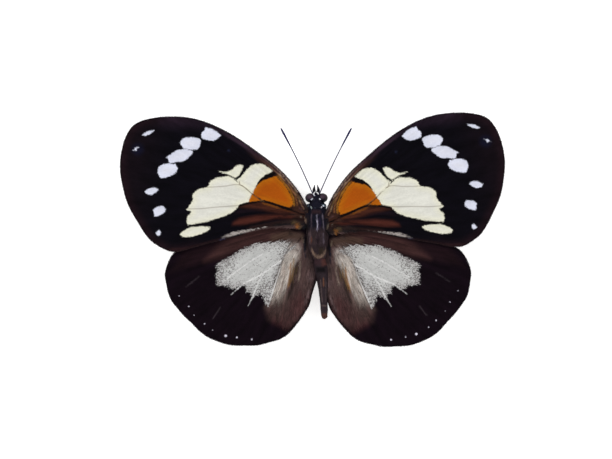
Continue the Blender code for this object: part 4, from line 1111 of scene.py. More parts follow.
def wing_material(name, marks, above, vein_colour):
    """Rows of scales: ragged markings over a streaked ground, with raised, tinted veins."""
    wires = Wiring(name)
    flat = wires.attribute("flat", "Vector")
    lie = wires.attribute("lie", "Vector")
    grain = wires.noise(flat, 4.0)
    streak = wires.noise(lie, 1.8, 5.0)
    cells = wires.cells(wires.stretch(flat, (5.0, 6.5, 1.0)), 1.0)
    lone = wires.node("ShaderNodeSeparateColor", {0: cells}).outputs[0]
    streaked = wires.spread(streak, 0.3, 0.7, 0.62, 1.35)
    shade = wires.maths("ADD", streaked, wires.spread(lone, 0.0, 1.0, -0.12, 0.12))
    colour = wires.shade(wires.attribute("ground", "Color"), shade)
    rough = wires.maths("ADD", grain, wires.spread(lone, 0.0, 1.0, -0.5, 0.5))
    rays = wires.maths("ADD", streak, wires.maths("MULTIPLY", lone, 0.3))
    for mark, _, rim, core, below, ragged, soft, dust in marks:
        depth = wires.attribute(mark)
        edge = wires.maths("ADD", depth, wires.spread(rough, 0.0, 1.0, -ragged / 2, ragged / 2))
        if dust:
            edge = wires.maths("ADD", edge, wires.spread(streak, 0.35, 0.65, -ragged / 2, ragged / 2))
        if above:
            inside = wires.spread(wires.maths("ADD", depth, grain), 0.5, 2.0)
            marked = wires.mix(inside, with_alpha(rim), with_alpha(core))
        else:
            marked = wires.mix(grain, with_alpha(below), with_alpha(core))
        if dust:
            clear = wires.maths("ADD", wires.attribute(mark + "_dust"), grain)
            share = wires.spread(clear, -1.2, 1.6, 0.58, 0.05)
            dusty = wires.spread(wires.maths("SUBTRACT", lone, share), 0.03, -0.05, 0.0, 0.62)
            marked = wires.mix(dusty, marked, with_alpha(DUST))
        tone = wires.spread(rays, 0.4, 0.9, 0.8 if dust else 0.88, 1.08)
        colour = wires.mix(wires.spread(edge, -soft, soft), colour, wires.shade(marked, tone))
    colour = wires.mix(wires.attribute("line"), colour, with_alpha(vein_colour))
    rows = wires.cells(wires.stretch(flat, (7.0, 11.0, 1.0)), 1.0, "Distance")
    relief = wires.maths("ADD", wires.maths("MULTIPLY", streak, 1.5), rows)
    roughness = wires.spread(grain, 0.3, 0.7, 0.6, 0.8)
    return wires.finish(colour, roughness, 0.03, wires.bump(relief, 0.02))


def add_wing(name, sheet, looks):
    """One wing as a thin closed sheet with raised veins, both sides patterned."""
    flat, triangles, margin, ridge = sheet
    inner = np.setdiff1d(np.arange(len(flat)), margin)
    below = np.arange(len(flat))
    below[inner] = len(flat) + np.arange(len(inner))
    drawn = drawn_places(name, flat)
    lines = vein_lines(looks["veins"])
    root_share = np.clip(np.hypot(flat[:, 0], flat[:, 1]) / WING_LENGTH, 0.0, 1.0)
    vein_rise = ridge * (VEIN_RISE[0] + (VEIN_RISE[1] - VEIN_RISE[0]) * root_share)
    valley = -VALLEY_DEPTH * fade(distance_to_lines(flat, lines), 0.0, VALLEY_WIDTH)
    half = np.full(len(flat), MEMBRANE_HALF)
    half[margin] = 0.0
    top = on_wing(name, flat, valley + half + vein_rise)
    bottom = on_wing(name, flat[inner], (valley - half - UNDER_RISE * vein_rise)[inner])
    if WING_PLACES[name][0] < 0:
        triangles = triangles[:, ::-1]
    faces = np.vstack([triangles, below[triangles[:, ::-1]]]).tolist()
    piece = new_piece(name + "_scales", np.vstack([top, bottom]), faces, looks["materials"])
    mesh = piece.data
    sides = np.repeat([0, 1], len(triangles)).astype(np.int32)
    mesh.polygons.foreach_set("material_index", sides)
    mesh.set_sharp_from_angle(angle=math.radians(SHARP_ANGLE))
    both = np.vstack([flat, flat[inner]])
    set_attribute(mesh, "flat", np.column_stack([both, np.zeros(len(both))]))
    set_attribute(mesh, "lie", streak_places(both, looks["root"]))
    set_attribute(mesh, "ground", np.vstack([looks["above"](flat, drawn), looks["below"](flat[inner])]))
    both_drawn = np.vstack([drawn, drawn[inner]])
    for mark, depth, *_, dust in looks["marks"]:
        set_attribute(mesh, mark, depth(both_drawn))
        if dust:
            set_attribute(mesh, mark + "_dust", dust(both_drawn))
    line = ridge * looks["vein_share"](drawn)
    set_attribute(mesh, "line", np.concatenate([line, UNDER_TINT * line[inner]]))
    low = flat.min(axis=0)
    span = flat.max(axis=0) - low
    places = (both - low) / span * MAP_SIZE + MAP_CORNER
    places[len(flat):, 0] += MAP_UNDERSIDE
    set_map(mesh, places)
    settle(piece, name.split("_")[0], name)


def forewing_vein_share(flat):
    """How strongly the forewing's veins show: brown lines through the large fan and the orange."""
    x, y = flat.T
    fan = 0.45 * fade(depth_inside(flat, CREAM_FAN), -0.05, 0.25) * fade(y, 12.9, 12.3)
    between = 0.75 * fade(distance_to_lines(flat, [smooth_path(FAN_RIM, LINE_STEP)]), 0.35, 0.25)
    return np.maximum(fan, between)


def hindwing_vein_share(flat):
    """How strongly the hindwing's veins show: white, through the pale patch."""
    x, y = flat.T
    return 0.2 * fade(depth_inside(flat, PALE_PATCH), 0.0, 0.8) * fade(x, 8.0, 10.0) * fade(y, -3.0, -5.0)


def add_fringe(name, sheet, looks, rng):
    """Short scales that stand out all along the wing's free margin."""
    flat, _, margin, _ = sheet
    outline = flat[margin]
    outline = outline[outline[:, 0] > FRINGE_START]
    line = smooth_path(outline[::3], FRINGE_STEP)
    outwards = outward_normals(line, flat.mean(axis=0))
    along = np.column_stack([outwards[:, 1], -outwards[:, 0]])
    roots = line - outwards * FRINGE_SUNK
    lengths = rng.uniform(*FRINGE_LENGTHS, len(roots))
    turned = outwards + along * rng.normal(0.0, FRINGE_STRAY, (len(roots), 1))
    shape = Shape()
    tints = looks["above"](roots, drawn_places(name, roots)) * FRINGE_TONE
    add_flat_tufts(shape, name, roots, turned, lengths, FRINGE_WIDTH, FRINGE_LIFT, tints, rng)
    piece = shape.finish(name + "_fringe", looks["hair"])
    settle(piece, name.split("_")[0])


def add_flat_tufts(shape, name, roots, ways, lengths, width, lift, tints, rng, rise=0.05):
    """Tufts rooted on the upper side of a wing and lying along it."""
    count = len(roots)
    places = on_wing(name, roots, np.full(count, rise))
    ahead = on_wing(name, roots + unit(ways) * 0.5, np.full(count, rise))
    ups = np.tile(wing_turn(name)[:, 2], (count, 1))
    widths = width * rng.uniform(0.75, 1.25, count)
    tones = tints * rng.uniform(0.7, 1.35, (count, 1))
    patches = np.clip((roots + TUFT_MAP_CORNER) / TUFT_MAP_SIZE, 0.0, 0.99)
    shape.add(*tufts(places, unit(ahead - places), ups, lengths, widths, tones, patches, lift, rng))


def in_locks(outline, count, rng):
    """Places inside a flat outline, in small bunches, with the number of each one's bunch."""
    outline = np.array(outline, float)
    low, high = outline.min(axis=0), outline.max(axis=0)
    locks = rng.uniform(low, high, (count, 2))
    locks = locks[depth_inside(locks, outline) > 0.0][:count // LOCK_SIZE]
    numbers = np.repeat(np.arange(len(locks)), LOCK_SIZE)
    return locks[numbers] + rng.normal(0.0, LOCK_SPREAD, (len(numbers), 2)), numbers


def add_wing_hair(name, looks, rng):
    """Long soft hair over the wing's root and, on the hindwing, its whole inner margin."""
    shape = Shape()
    root = np.array(looks["root"])
    edge = smooth_path(looks["edge"], 1.0)
    for outline, count, shortest, longest, width, overhang in HAIRY_ROOTS[name.split("_")[0]]:
        roots, locks = in_locks(outline, count, rng)
        ways = unit(roots - root + HAIR_LEAN) + rng.normal(0.0, HAIR_STRAY, (len(roots), 2))
        ways += rng.normal(0.0, HAIR_STRAY, (len(roots), 2))[locks]
        lengths = rng.uniform(shortest, longest, len(roots))
        lengths = np.minimum(lengths, overhang + 0.9 * depth_inside(roots, edge))
        shades = rng.uniform(*LOCK_TONES, len(roots))[locks]
        middles = roots + unit(ways) * (lengths * 0.4)[:, None]
        tints = looks["above"](middles, drawn_places(name, middles)) * shades[:, None]
        add_flat_tufts(shape, name, roots, ways, lengths, width, HAIR_LIFT, tints, rng)
    piece = shape.finish(name + "_hair", looks["hair"])
    settle(piece, name.split("_")[0])


# Body

def body_row(y):
    """Middle x and z, half width, half height and squareness of the body's skin at each y."""
    rows = np.array(BODY_ROWS)[::-1]
    slopes = np.gradient(rows, rows[:, 0], axis=0)
    i = np.clip(np.searchsorted(rows[:, 0], y) - 1, 0, len(rows) - 2)
    step = rows[i + 1, 0] - rows[i, 0]
    t = ((y - rows[i, 0]) / step)[:, None]
    a, b = rows[i, 1:], rows[i + 1, 1:]
    da, db = slopes[i, 1:] * step[:, None], slopes[i + 1, 1:] * step[:, None]
    values = (2 * t ** 3 - 3 * t ** 2 + 1) * a + (t ** 3 - 2 * t ** 2 + t) * da
    values += (3 * t ** 2 - 2 * t ** 3) * b + (t ** 3 - t ** 2) * db
    into = (WAIST_Y - y) / SEGMENT_LENGTH
    swell = SEGMENT_SWELL * (into % 1.0 - 0.6) * fade(-y, -WAIST_Y + 0.4, -WAIST_Y + 1.2)
    values[:, 2:4] = np.maximum(values[:, 2:4] + swell[:, None], 0.05)
    return values.T


def on_body(y, angle):
    """Places on the body's skin, the angle counted from its right side over the top."""
    x, z, wide, high, square = body_row(y)
    across, up = np.cos(angle), np.sin(angle)
    x = x + wide * np.sign(across) * np.abs(across) ** (2 / square)
    z = z + high * np.sign(up) * np.abs(up) ** (2 / square)
    return np.column_stack([x, y, z])


def body_normals(y, angle):
    step = 0.02
    along = on_body(y + step, angle) - on_body(y - step, angle)
    around = on_body(y, angle + step) - on_body(y, angle - step)
    return unit(np.cross(along, around))


def body_tint(points, upper):
    """Colour of the coat, by how far each place belongs to the upper side."""
    flat = points[:, :2]
    below = np.tile(albedo("2b221f"), (len(points), 1))
    below = paint(below, fade(flat[:, 1], -6.4, -7.0), "574a3f")
    above = draw(np.tile(albedo("151424"), (len(points), 1)), flat, BODY_AREAS, BODY_STROKES)
    return below + (above - below) * np.reshape(upper, (-1, 1))


def lobe_height(flat, middle, radii):
    """Height of a lobe's or an eye's upper side over flat places, lowest where it has none."""
    within = 1 - np.sum(((flat - middle[:2]) / radii[:2]) ** 2, axis=1)
    return np.where(within > 0, middle[2] + radii[2] * np.sqrt(np.maximum(within, 0.0)), 0.0)


def top_height(flat):
    """Height of the body's upper surface, eyes and lobes included, over flat places."""
    x, z, wide, high, square = body_row(flat[:, 1])
    within = np.maximum(1 - (np.abs(flat[:, 0] - x) / wide) ** square, 0.0)
    domes = LOBES + [((HEAD_X + side * EYE_SPREAD, *EYE_CENTRE), EYE_RADII) for side in (-1, 1)]
    heights = [lobe_height(flat, np.array(middle), np.array(radii)) for middle, radii in domes]
    return np.max([z + high * within ** (1 / square)] + heights, axis=0)


def coat_material(name, roughness):
    """Hair and hair-like scales, tinted where they grow."""
    wires = Wiring(name)
    place = wires.node("ShaderNodeTexCoord", {}).outputs["Object"]
    grain = wires.noise(place, 9000.0)
    colour = wires.shade(wires.attribute("tint", "Color"), wires.spread(grain, 0.3, 0.7, 0.82, 1.18))
    return wires.finish(colour, roughness, 0.12)


def skin_material(name):
    """The skin under the coat: the coat's own colours over a fine fibrous relief."""
    wires = Wiring(name)
    place = wires.node("ShaderNodeTexCoord", {}).outputs["Object"]
    fibres = wires.noise(wires.stretch(place, (1.0, 0.2, 1.0)), 12000.0, 3.0)
    colour = wires.shade(wires.attribute("tint", "Color"), wires.spread(fibres, 0.3, 0.7, 0.6, 1.1))
    return wires.finish(colour, 0.8, 0.1, wires.bump(fibres, 0.06))


def add_body_skin(material):
    """One unbroken skin from the face to the tail."""
    count = int((BODY_ROWS[0][0] - BODY_ROWS[-1][0]) / BODY_RING_STEP)
    rings = np.linspace(BODY_ROWS[0][0], BODY_ROWS[-1][0], count)
    y, turn = np.meshgrid(rings, np.arange(BODY_SIDES), indexing="ij")
    angle = 2 * math.pi * turn.ravel() / BODY_SIDES
    points = on_body(y.ravel(), angle)
    faces = []
    for ring in range(count - 1):
        for k in range(BODY_SIDES):
            a = ring * BODY_SIDES + k
            b = ring * BODY_SIDES + (k + 1) % BODY_SIDES
            faces.append((a, b, b + BODY_SIDES, a + BODY_SIDES))
    last = (count - 1) * BODY_SIDES
    faces.append(tuple(range(BODY_SIDES - 1, -1, -1)))
    faces.append(tuple(range(last, last + BODY_SIDES)))
    piece = new_piece("body_skin", points, faces, [material])
    set_attribute(piece.data, "tint", body_tint(points, fade(np.sin(angle), *SIDE_FADE)))
    settle(piece, "body_hair", "head", "thorax", "abdomen")


def add_lobes(material):
    """The collar's lobes and those over the forewings' roots."""
    shape = Shape()
    turns = 2 * math.pi * np.arange(LOBE_SIDES) / LOBE_SIDES
    for middle, radii in LOBES:
        rings = []
        for tilt in np.linspace(-0.49 * math.pi, 0.49 * math.pi, LOBE_SIDES // 2):
            ring = np.column_stack([np.cos(tilt) * np.cos(turns), np.cos(tilt) * np.sin(turns),
                                    np.full(LOBE_SIDES, math.sin(tilt))])
            rings.append(ring * radii + middle)
        points = np.vstack(rings)
        faces = ring_faces(len(rings), LOBE_SIDES)
        shape.add(points, faces, body_tint(points, np.ones(len(points))))
    settle(shape.finish("body_lobes", material), "body_hair")


def add_coat(coat, material, rng):
    """Tufts over one stretch of the body, in locks that lie back along it."""
    name, front, rear, count, shortest, longest, width, lift = coat
    places = rng.uniform(rear, front, count)
    wide = body_row(places)[2]
    places = places[rng.random(count) < wide / wide.max()][:count // COAT_LOCK]
    locks = np.repeat(np.arange(len(places)), COAT_LOCK)
    y = np.clip(places[locks] + rng.normal(0.0, COAT_SPREAD[0], len(locks)), rear, front)
    angle = rng.uniform(0.0, 2 * math.pi, len(places))[locks] + rng.normal(0.0, COAT_SPREAD[1], len(locks))
    roots = on_body(y, angle)
    ups = body_normals(y, angle)
    stray = rng.normal(0.0, COAT_STRAY[0], (len(places), 3))[locks]
    stray = stray + rng.normal(0.0, COAT_STRAY[1], (len(locks), 3))
    ways = lie_back(ups, stray)
    lengths = rng.uniform(shortest, longest, len(locks))
    lengths[beside_marks(roots)] *= SHORTENED
    widths = width * rng.uniform(0.7, 1.3, len(locks))
    tones = rng.uniform(*LOCK_TONES, len(places))[locks] * rng.uniform(0.8, 1.2, len(locks))
    middles = roots + ways * (lengths * 0.5)[:, None]
    tints = body_tint(middles, fade(np.sin(angle), *SIDE_FADE)) * tones[:, None]
    patches = np.column_stack([angle / (2 * math.pi) % 1.0, (y - TAIL_Y) / (BODY_ROWS[0][0] - TAIL_Y)]) * 0.99
    shape = Shape()
    shape.add(*tufts(roots, ways, ups, lengths, widths, tints, patches, lift, rng))
    settle(shape.finish(name, material), "body_hair")


def beside_marks(roots):
    """Whether each root lies under a patch of pale scales or just in front of one."""
    flat = roots[:, :2]
    gaps = [distance_to_lines(flat, [smooth_path(path, 0.1)]) - half_width
            for path, half_width, _ in BODY_MARKS]
    return (np.min(gaps, axis=0) < MARK_MARGIN) & (roots[:, 2] > MARKS_ABOVE)


def lie_back(ups, stray):
    """Directions along the skin towards the tail, each with its own deviation."""
    back = stray + (0.0, -1.0, 0.0)
    return unit(back - ups * np.sum(back * ups, axis=1)[:, None])


def body_patches(roots):
    """Texture places of tufts by where they stand on the body, seen flat."""
    return np.clip((roots[:, :2] + (3.5, 19.5)) / (7.0, 29.2), 0.0, 0.99)


def add_lobe_coat(material, rng):
    """Tufts over the lobes, lying back like the rest of the coat."""
    shape = Shape()
    for middle, radii in LOBES:
        size = math.sqrt(radii[0] * radii[1])
        count = int(LOBE_TUFTS * size ** 2 / COAT_LOCK) * COAT_LOCK
        turn = rng.uniform(0.0, 2 * math.pi, count)
        reach = np.sqrt(rng.uniform(0.0, 0.98, count))
        ball = np.column_stack([reach * np.cos(turn), reach * np.sin(turn), np.sqrt(1 - reach ** 2)])
        roots = ball * radii + middle
        ups = unit(ball / radii)
        tones = np.repeat(rng.uniform(0.65, 1.45, count // COAT_LOCK), COAT_LOCK)
        lengths = rng.uniform(0.45, 0.75, count) * size
        lengths[beside_marks(roots)] *= SHORTENED
        ways = lie_back(ups, rng.normal(0.0, 0.15, (count, 3)))
        tints = body_tint(roots + ways * (lengths * 0.5)[:, None], np.ones(count)) * tones[:, None]
        widths = rng.uniform(0.07, 0.11, count)
        shape.add(*tufts(roots, ways, ups, lengths, widths, tints, body_patches(roots), 0.25, rng))
    settle(shape.finish("lobe_hair", material), "body_hair")


def add_marks(material, rng):
    """Short upright scales that make the white and bluish patches of the head and collar."""
    shape = Shape()
    for path, half_width, code in BODY_MARKS:
        line = smooth_path(path, 0.02)
        length = 0.02 * len(line)
        count = int(MARK_DENSITY * 2 * half_width * (length + half_width))
        flat = line[rng.integers(0, len(line), count)]
        turn = rng.uniform(0.0, 2 * math.pi, count)
        reach = half_width * np.sqrt(rng.random(count))
        flat = flat + np.column_stack([reach * np.cos(turn), reach * np.sin(turn)])
        step = 0.03
        slope = [(top_height(flat + way) - top_height(flat - way)) / (2 * step) for way in np.eye(2) * step]
        ups = unit(np.column_stack([-slope[0], -slope[1], np.ones(count)]))
        ups = unit(ups + (0.0, 0.0, 1.2))
        roots = np.column_stack([flat, top_height(flat) + 0.1])
        tints = np.tile(albedo(code), (count, 1)) * rng.uniform(1.0, 1.2, (count, 1))
        ways = lie_back(ups, rng.normal(0.0, 0.25, (count, 3)))
        lengths = rng.uniform(0.16, 0.26, count)
        widths = rng.uniform(0.06, 0.09, count)
        shape.add(*tufts(roots, ways, ups, lengths, widths, tints, body_patches(roots), 0.9, rng))
    settle(shape.finish("head_marks", material), "body_hair")


# Head and limbs

def eye_material():
    """Glossy eye: brown-violet in front with a painted highlight towards the top of its dome, blue-black
    behind, with fine facets.
    """
    wires = Wiring("eye")
    place = wires.node("ShaderNodeTexCoord", {}).outputs["Object"]
    mottle = wires.noise(place, 1800.0)
    _, along, height = wires.node("ShaderNodeSeparateXYZ", {0: place}).outputs
    behind = wires.maths("ADD", along, wires.maths("MULTIPLY", mottle, 0.8 * MM))
    middle = ORIGIN[1] + EYE_CENTRE[0] * MM
    share = wires.spread(behind, middle - 0.2 * MM, middle + 0.6 * MM)
    # Painted highlight: the violet grows lighter towards the top of the dome.
    violet = wires.mix(wires.spread(height, 8.5 * MM, 9.25 * MM), with_alpha("1b1118"), with_alpha("443440"))
    colour = wires.mix(share, with_alpha("0e0f18"), violet)
    facets = wires.cells(place, 16000.0, "Distance")
    return wires.finish(colour, 0.25, 0.1, wires.bump(facets, 0.004))


def add_eye(side, material):
    """A domed eye."""
    shape = bmesh.new()
    bmesh.ops.create_icosphere(shape, subdivisions=5, radius=1.0)
    centre = Vector((HEAD_X + side * EYE_SPREAD, *EYE_CENTRE))
    for vertex in shape.verts:
        stretched = Vector([a * b for a, b in zip(vertex.co, EYE_RADII)])
        vertex.co = (centre + stretched) * MM + Vector(ORIGIN)
    name = "eye" + SUFFIX[side]
    mesh = bpy.data.meshes.new(name + "_lens")
    shape.to_mesh(mesh)
    shape.free()
    mesh.materials.append(material)
    mesh.shade_smooth()
    piece = bpy.data.objects.new(name + "_lens", mesh)
    bpy.context.scene.collection.objects.link(piece)
    settle(piece, "eye", name)


def horn_material(name, code, roughness, specular):
    """Jointed horny limbs under a thin coat of scales."""
    wires = Wiring(name)
    place = wires.node("ShaderNodeTexCoord", {}).outputs["Object"]
    grain = wires.noise(place, 7000.0, 3.0)
    colour = wires.mix(wires.spread(grain, 0.35, 0.7), with_alpha(code), wires.attribute("tint", "Color"))
    return wires.finish(colour, roughness, specular, wires.bump(grain, 0.03))


def add_antenna(side, material):
    """A feeler of many short joints, thickening into its club."""
    x, y, z = ANTENNA_BASE
    base = np.array((ANTENNA_MIDDLE + side * (x - 0.35), y - 0.45, z - 0.25))
    tip = np.array((ANTENNA_MIDDLE + side * ANTENNA_TIP[0], *ANTENNA_TIP[1:]))
    steps = ANTENNA_JOINTS * 4
    parts = np.linspace(0.0, 1.0, steps + 1)
    line = base + (tip - base) * parts[:, None]
    line[:, 0] -= side * ANTENNA_BOW * np.sin(math.pi * parts)
    pinch = 1 - 0.16 * (np.arange(steps + 1) % 4 == 0)
    radii = along_table(ANTENNA_RADII, parts) * pinch
    points, faces = tube(line, radii, 14)
    shape = Shape()
    shape.add(points, faces, albedo("2e2a5a"))
    name = "antenna" + SUFFIX[side]
    settle(shape.finish(name + "_joints", material), "horn", name)


def add_palp(side, horn, hair, rng):
    """An upturned mouth feeler, a bristly spike seen from above."""
    line = smooth_path([(HEAD_X + side * x, y, z) for x, y, z in PALP_POINTS], 0.12)
    parts = np.linspace(0.0, 1.0, len(line))
    line[:, 0] += PALP_LEAN * parts
    radii = np.interp(parts, np.linspace(0.0, 1.0, len(PALP_RADII)), PALP_RADII)
    shape = Shape()
    points, faces = tube(line, radii, 14)
    shape.add(points, faces, albedo("14162a"))
    name = "palp" + SUFFIX[side]
    settle(shape.finish(name + "_core", horn), "horn", name)
    count = PALP_TUFTS
    stop = rng.integers(0, len(line) - 1, count)
    ahead = unit(np.gradient(line, axis=0))[stop]
    spin = rng.uniform(0.0, 2 * math.pi, count)
    aside = unit(np.cross(ahead, (0.0, 0.3, 1.0)))
    ups = aside * np.cos(spin)[:, None] + np.cross(ahead, aside) * np.sin(spin)[:, None]
    roots = line[stop] + ups * (radii[stop] * 0.9)[:, None]
    tints = np.tile(albedo("2a2e48"), (count, 1)) * rng.uniform(0.6, 1.5, (count, 1))
    lengths = rng.uniform(0.22, 0.42, count)
    patches = np.column_stack([spin / (2 * math.pi), parts[stop]]) * 0.99
    coat = Shape()
    coat.add(*tufts(roots, ahead, ups, lengths, np.full(count, 0.06), tints, patches, 0.25, rng))
    settle(coat.finish(name + "_hair", hair), "body_hair")


def add_proboscis(material):
    """The tongue, rolled up like a watch spring."""
    parts = np.linspace(0.0, 1.0, 120)
    angles = np.radians(COIL_START - 360.0 * COIL_TURNS * parts)
    reach = COIL_OUTER + (COIL_INNER - COIL_OUTER) * parts
    coil = np.column_stack([np.full(len(parts), HEAD_X), COIL_CENTRE[0] + reach * np.cos(angles),
                            COIL_CENTRE[1] + reach * np.sin(angles)])
    line = np.vstack([[(HEAD_X, *COIL_ROOT)], coil])
    radii = np.interp(np.linspace(0.0, 1.0, len(line)), (0.0, 1.0), COIL_RADII)
    radii = radii * (1 - 0.08 * (np.arange(len(line)) % 2))
    points, faces = tube(line, radii, 12)
    shape = Shape()
    shape.add(points, faces, albedo("4a3020"))
    settle(shape.finish("tongue_coil", material), "horn", "proboscis")


def leg_stretch(shape, start, end, profile, tint, sides=14):
    """One section of a leg, with its own swelling."""
    parts = np.linspace(0.0, 1.0, 14)
    line = start + (end - start) * parts[:, None]
    points, faces = tube(line, along_table(profile, parts), sides)
    shape.add(points, faces, tint)


def spikes(shape, roots, ways, lengths, radius, tint):
    """Stiff pointed spines."""
    for root, way, length in zip(roots, ways, lengths):
        stops = root + way * length * np.array((-0.2, 0.5, 1.0))[:, None]
        points, faces = tube(stops, (radius, 0.7 * radius, 0.1 * radius), 6)
        shape.add(points, faces, tint)


def add_walking_leg(kind, side, joints, horn, hair, rng):
    """Thigh, shin with spurs and a five-jointed foot with two claws."""
    hip, knee, ankle, toe = [np.array((side * x, y, z)) for x, y, z in joints]
    dark, pale = albedo("1b1517"), albedo("3a2d28")
    shape = Shape()
    leg_stretch(shape, hip, knee, FEMUR_PROFILE, dark)
    leg_stretch(shape, knee + (0.0, 0.0, 0.05), ankle, TIBIA_PROFILE, dark)
    heel = np.array((ankle[0], ankle[1], toe[2]))
    leg_stretch(shape, ankle, heel + (0.0, 0.0, 0.1), [(0.0, 0.22), (1.0, 0.17)], dark)
    along = (toe - heel) / np.linalg.norm(toe - heel)
    across = np.cross(along, (0.0, 0.0, 1.0))
    for joint in range(TARSUS_JOINTS):
        start = heel + (toe - heel) * (joint / TARSUS_JOINTS) * FOOT_SHARE
        end = heel + (toe - heel) * ((joint + 1.04) / TARSUS_JOINTS) * FOOT_SHARE
        leg_stretch(shape, start, end, TARSUS_PROFILE, pale, 12)
    for hand in (-1, 1):
        root = heel + (toe - heel) * CLAW_ROOT + across * hand * 0.07
        way = unit((along + across * hand * 0.5 + (0, 0, -0.12))[None])[0]
        spikes(shape, [root], [way], [CLAW_LENGTH], CLAW_RADIUS, dark)
    shin = ankle - knee
    stops = np.linspace(*SPINE_REACH, SPINE_COUNT)
    for hand in (-1, 1):
        roots = [knee + shin * stop + across * hand * 0.2 for stop in stops]
        ways = unit(np.tile(shin / np.linalg.norm(shin) * 0.8 + across * hand * 0.6, (len(stops), 1)))
        spikes(shape, roots, ways, rng.uniform(0.25, 0.4, len(stops)), SPINE_RADIUS, dark)
    name = kind + SUFFIX[side]
    settle(shape.finish(name + "_joints", horn), "horn", name)
    coat = Shape()
    for start, end, radius, count in ((hip, knee, 0.36, 420), (knee, ankle, 0.22, 260)):
        add_limb_coat(coat, start, end, radius, count, rng)
    settle(coat.finish(name + "_hair", hair), "body_hair")


def add_limb_coat(shape, start, end, radius, count, rng):
    """Short flat scales along a straight limb."""
    ahead = (end - start) / np.linalg.norm(end - start)
    aside = unit(np.cross(ahead, (0.1, 0.2, 0.97))[None])[0]
    spin = rng.uniform(0.0, 2 * math.pi, count)
    share = rng.uniform(0.05, 0.95, count)
    ups = np.outer(np.cos(spin), aside) + np.outer(np.sin(spin), np.cross(ahead, aside))
    roots = start + np.outer(share, end - start) + ups * radius
    tints = np.tile(albedo("2c2220"), (count, 1)) * rng.uniform(0.6, 1.6, (count, 1))
    lengths = rng.uniform(0.18, 0.34, count)
    patches = np.column_stack([spin / (2 * math.pi), share]) * 0.99
    ways = np.tile(ahead, (count, 1))
    shape.add(*tufts(roots, ways, ups, lengths, np.full(count, 0.06), tints, patches, 0.3, rng))


def add_foreleg(side, horn, hair, rng):
    """The short brush-like front leg, folded under the chest."""
    line = smooth_path([(side * x, y, z) for x, y, z in FORELEG], 0.15)
    parts = np.linspace(0.0, 1.0, len(line))
    shape = Shape()
    points, faces = tube(line, np.interp(parts, (0.0, 0.5, 1.0), (0.24, 0.2, 0.07)), 12)
    shape.add(points, faces, albedo("1b1517"))
    name = "foreleg" + SUFFIX[side]
    settle(shape.finish(name + "_joints", horn), "horn", name)
    coat = Shape()
    knots = [np.array((side * x, y, z)) for x, y, z in FORELEG]
    for start, end in zip(knots, knots[1:]):
        add_limb_coat(coat, start, end, 0.17, 160, rng)
    settle(coat.finish(name + "_hair", hair), "body_hair")


# Stage

def add_stage():
    """A plain pale floor that glows faintly, like a light table, under soft studio light."""
    bpy.ops.mesh.primitive_plane_add(size=FLOOR_SIZE, location=(0.0, 0.0, -0.00005))
    floor = bpy.context.object
    floor.name = "floor"
    wires = Wiring("floor")
    place = wires.node("ShaderNodeTexCoord", {}).outputs["Object"]
    white = wires.mix(wires.noise(place, 400.0), (0.86, 0.86, 0.86, 1.0), (0.9, 0.9, 0.9, 1.0))
    glow = {"Emission_Color": (1.0, 1.0, 1.0, 1.0), "Emission_Strength": FLOOR_GLOW}
    floor.data.materials.append(wires.finish(white, 0.9, 0.0, **glow))
    world = bpy.data.worlds.new("studio")
    bpy.context.scene.world = world
    world.use_nodes = True
    world.node_tree.nodes["Background"].inputs["Color"].default_value = (1.0, 1.0, 1.0, 1.0)
    world.node_tree.nodes["Background"].inputs["Strength"].default_value = ROOM_LIGHT
    for lamp in LAMPS:
        add_lamp(*lamp)


def add_lamp(name, place, size, power):
    """A large soft lamp that looks at the model."""
    light = bpy.data.lights.new(name, "AREA")
    light.shape = "DISK"
    light.size = size
    light.energy = power
    lamp = bpy.data.objects.new(name, light)
    lamp.location = place
    lamp.rotation_euler = (-Vector(place)).to_track_quat("-Z", "Y").to_euler()
    bpy.context.scene.collection.objects.link(lamp)


def add_camera():
    """Straight down over the spread wings, framed as in the photograph."""
    data = bpy.data.cameras.new("camera")
    data.sensor_width = 36.0
    data.lens = data.sensor_width * (CAMERA_HEIGHT - WING_HEIGHT) / PICTURE_WIDTH
    data.clip_end = 10.0
    camera = bpy.data.objects.new("camera", data)
    camera.location = Vector(ORIGIN) + Vector((*PICTURE_MIDDLE, CAMERA_HEIGHT)) * MM
    bpy.context.scene.collection.objects.link(camera)
    bpy.context.scene.camera = camera


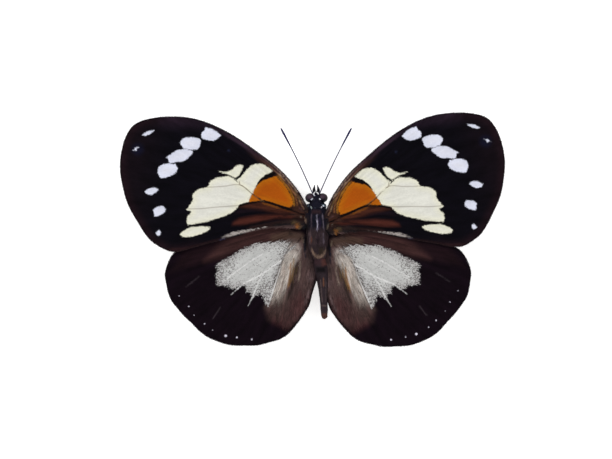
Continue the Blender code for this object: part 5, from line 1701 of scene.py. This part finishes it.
def add_wings(hair):
    """Both pairs of wings, each pair from one sheet and one set of looks."""
    forewing = wing_sheet(FOREWING_EDGE, FOREWING_VEINS, [], FRINGED_INSET)
    hindwing = wing_sheet(HINDWING_EDGE, HINDWING_VEINS, HINDWING_POINTS, 0.0)
    fore = {
        "edge": FOREWING_EDGE, "veins": FOREWING_VEINS, "root": FOREWING_ROOT, "marks": FOREWING_MARKS,
        "above": forewing_ground, "below": forewing_under, "vein_share": forewing_vein_share, "hair": hair,
        "materials": [wing_material("forewing_above", FOREWING_MARKS, True, "634a31"),
                      wing_material("forewing_below", FOREWING_MARKS, False, "2c1c17")],
    }
    hind = {
        "edge": HINDWING_EDGE, "veins": HINDWING_VEINS, "root": HINDWING_ROOT, "marks": HINDWING_MARKS,
        "above": hindwing_ground, "below": hindwing_under, "vein_share": hindwing_vein_share, "hair": hair,
        "materials": [wing_material("hindwing_above", HINDWING_MARKS, True, "e6e7e3"),
                      wing_material("hindwing_below", HINDWING_MARKS, False, "5b4636")],
    }
    for number, name in enumerate(WING_PLACES):
        sheet, looks = (forewing, fore) if name.startswith("forewing") else (hindwing, hind)
        rng = np.random.default_rng(SEED + number)
        add_wing(name, sheet, looks)
        add_fringe(name, sheet, looks, rng)
        add_wing_hair(name, looks, rng)


def main():
    coat = coat_material("coat", 0.7)
    horn = horn_material("horn", "0e0c12", 0.42, 0.3)
    feeler = horn_material("feeler", "1c1a44", 0.6, 0.05)
    add_wings(coat)
    skin = skin_material("skin")
    add_body_skin(skin)
    rng = np.random.default_rng(SEED)
    add_lobes(skin)
    for stretch in COATS:
        add_coat(stretch, coat, rng)
    add_lobe_coat(coat, rng)
    add_marks(coat, rng)
    eye = eye_material()
    for side in (-1, 1):
        add_eye(side, eye)
        add_antenna(side, feeler)
        add_palp(side, horn, coat, rng)
        add_foreleg(side, horn, coat, rng)
        for kind, joints in WALKING_LEGS.items():
            add_walking_leg(kind, side, joints, horn, coat, rng)
    add_proboscis(horn)
    add_stage()
    add_camera()
    bpy.context.scene.view_settings.view_transform = "Standard"


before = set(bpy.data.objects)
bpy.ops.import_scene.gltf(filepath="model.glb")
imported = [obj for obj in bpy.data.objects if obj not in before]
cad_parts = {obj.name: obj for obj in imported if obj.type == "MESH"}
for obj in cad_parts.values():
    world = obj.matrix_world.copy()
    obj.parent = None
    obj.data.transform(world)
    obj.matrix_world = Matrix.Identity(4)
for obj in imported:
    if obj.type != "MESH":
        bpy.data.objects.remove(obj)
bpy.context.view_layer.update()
ORIGIN = table_origin()
main()
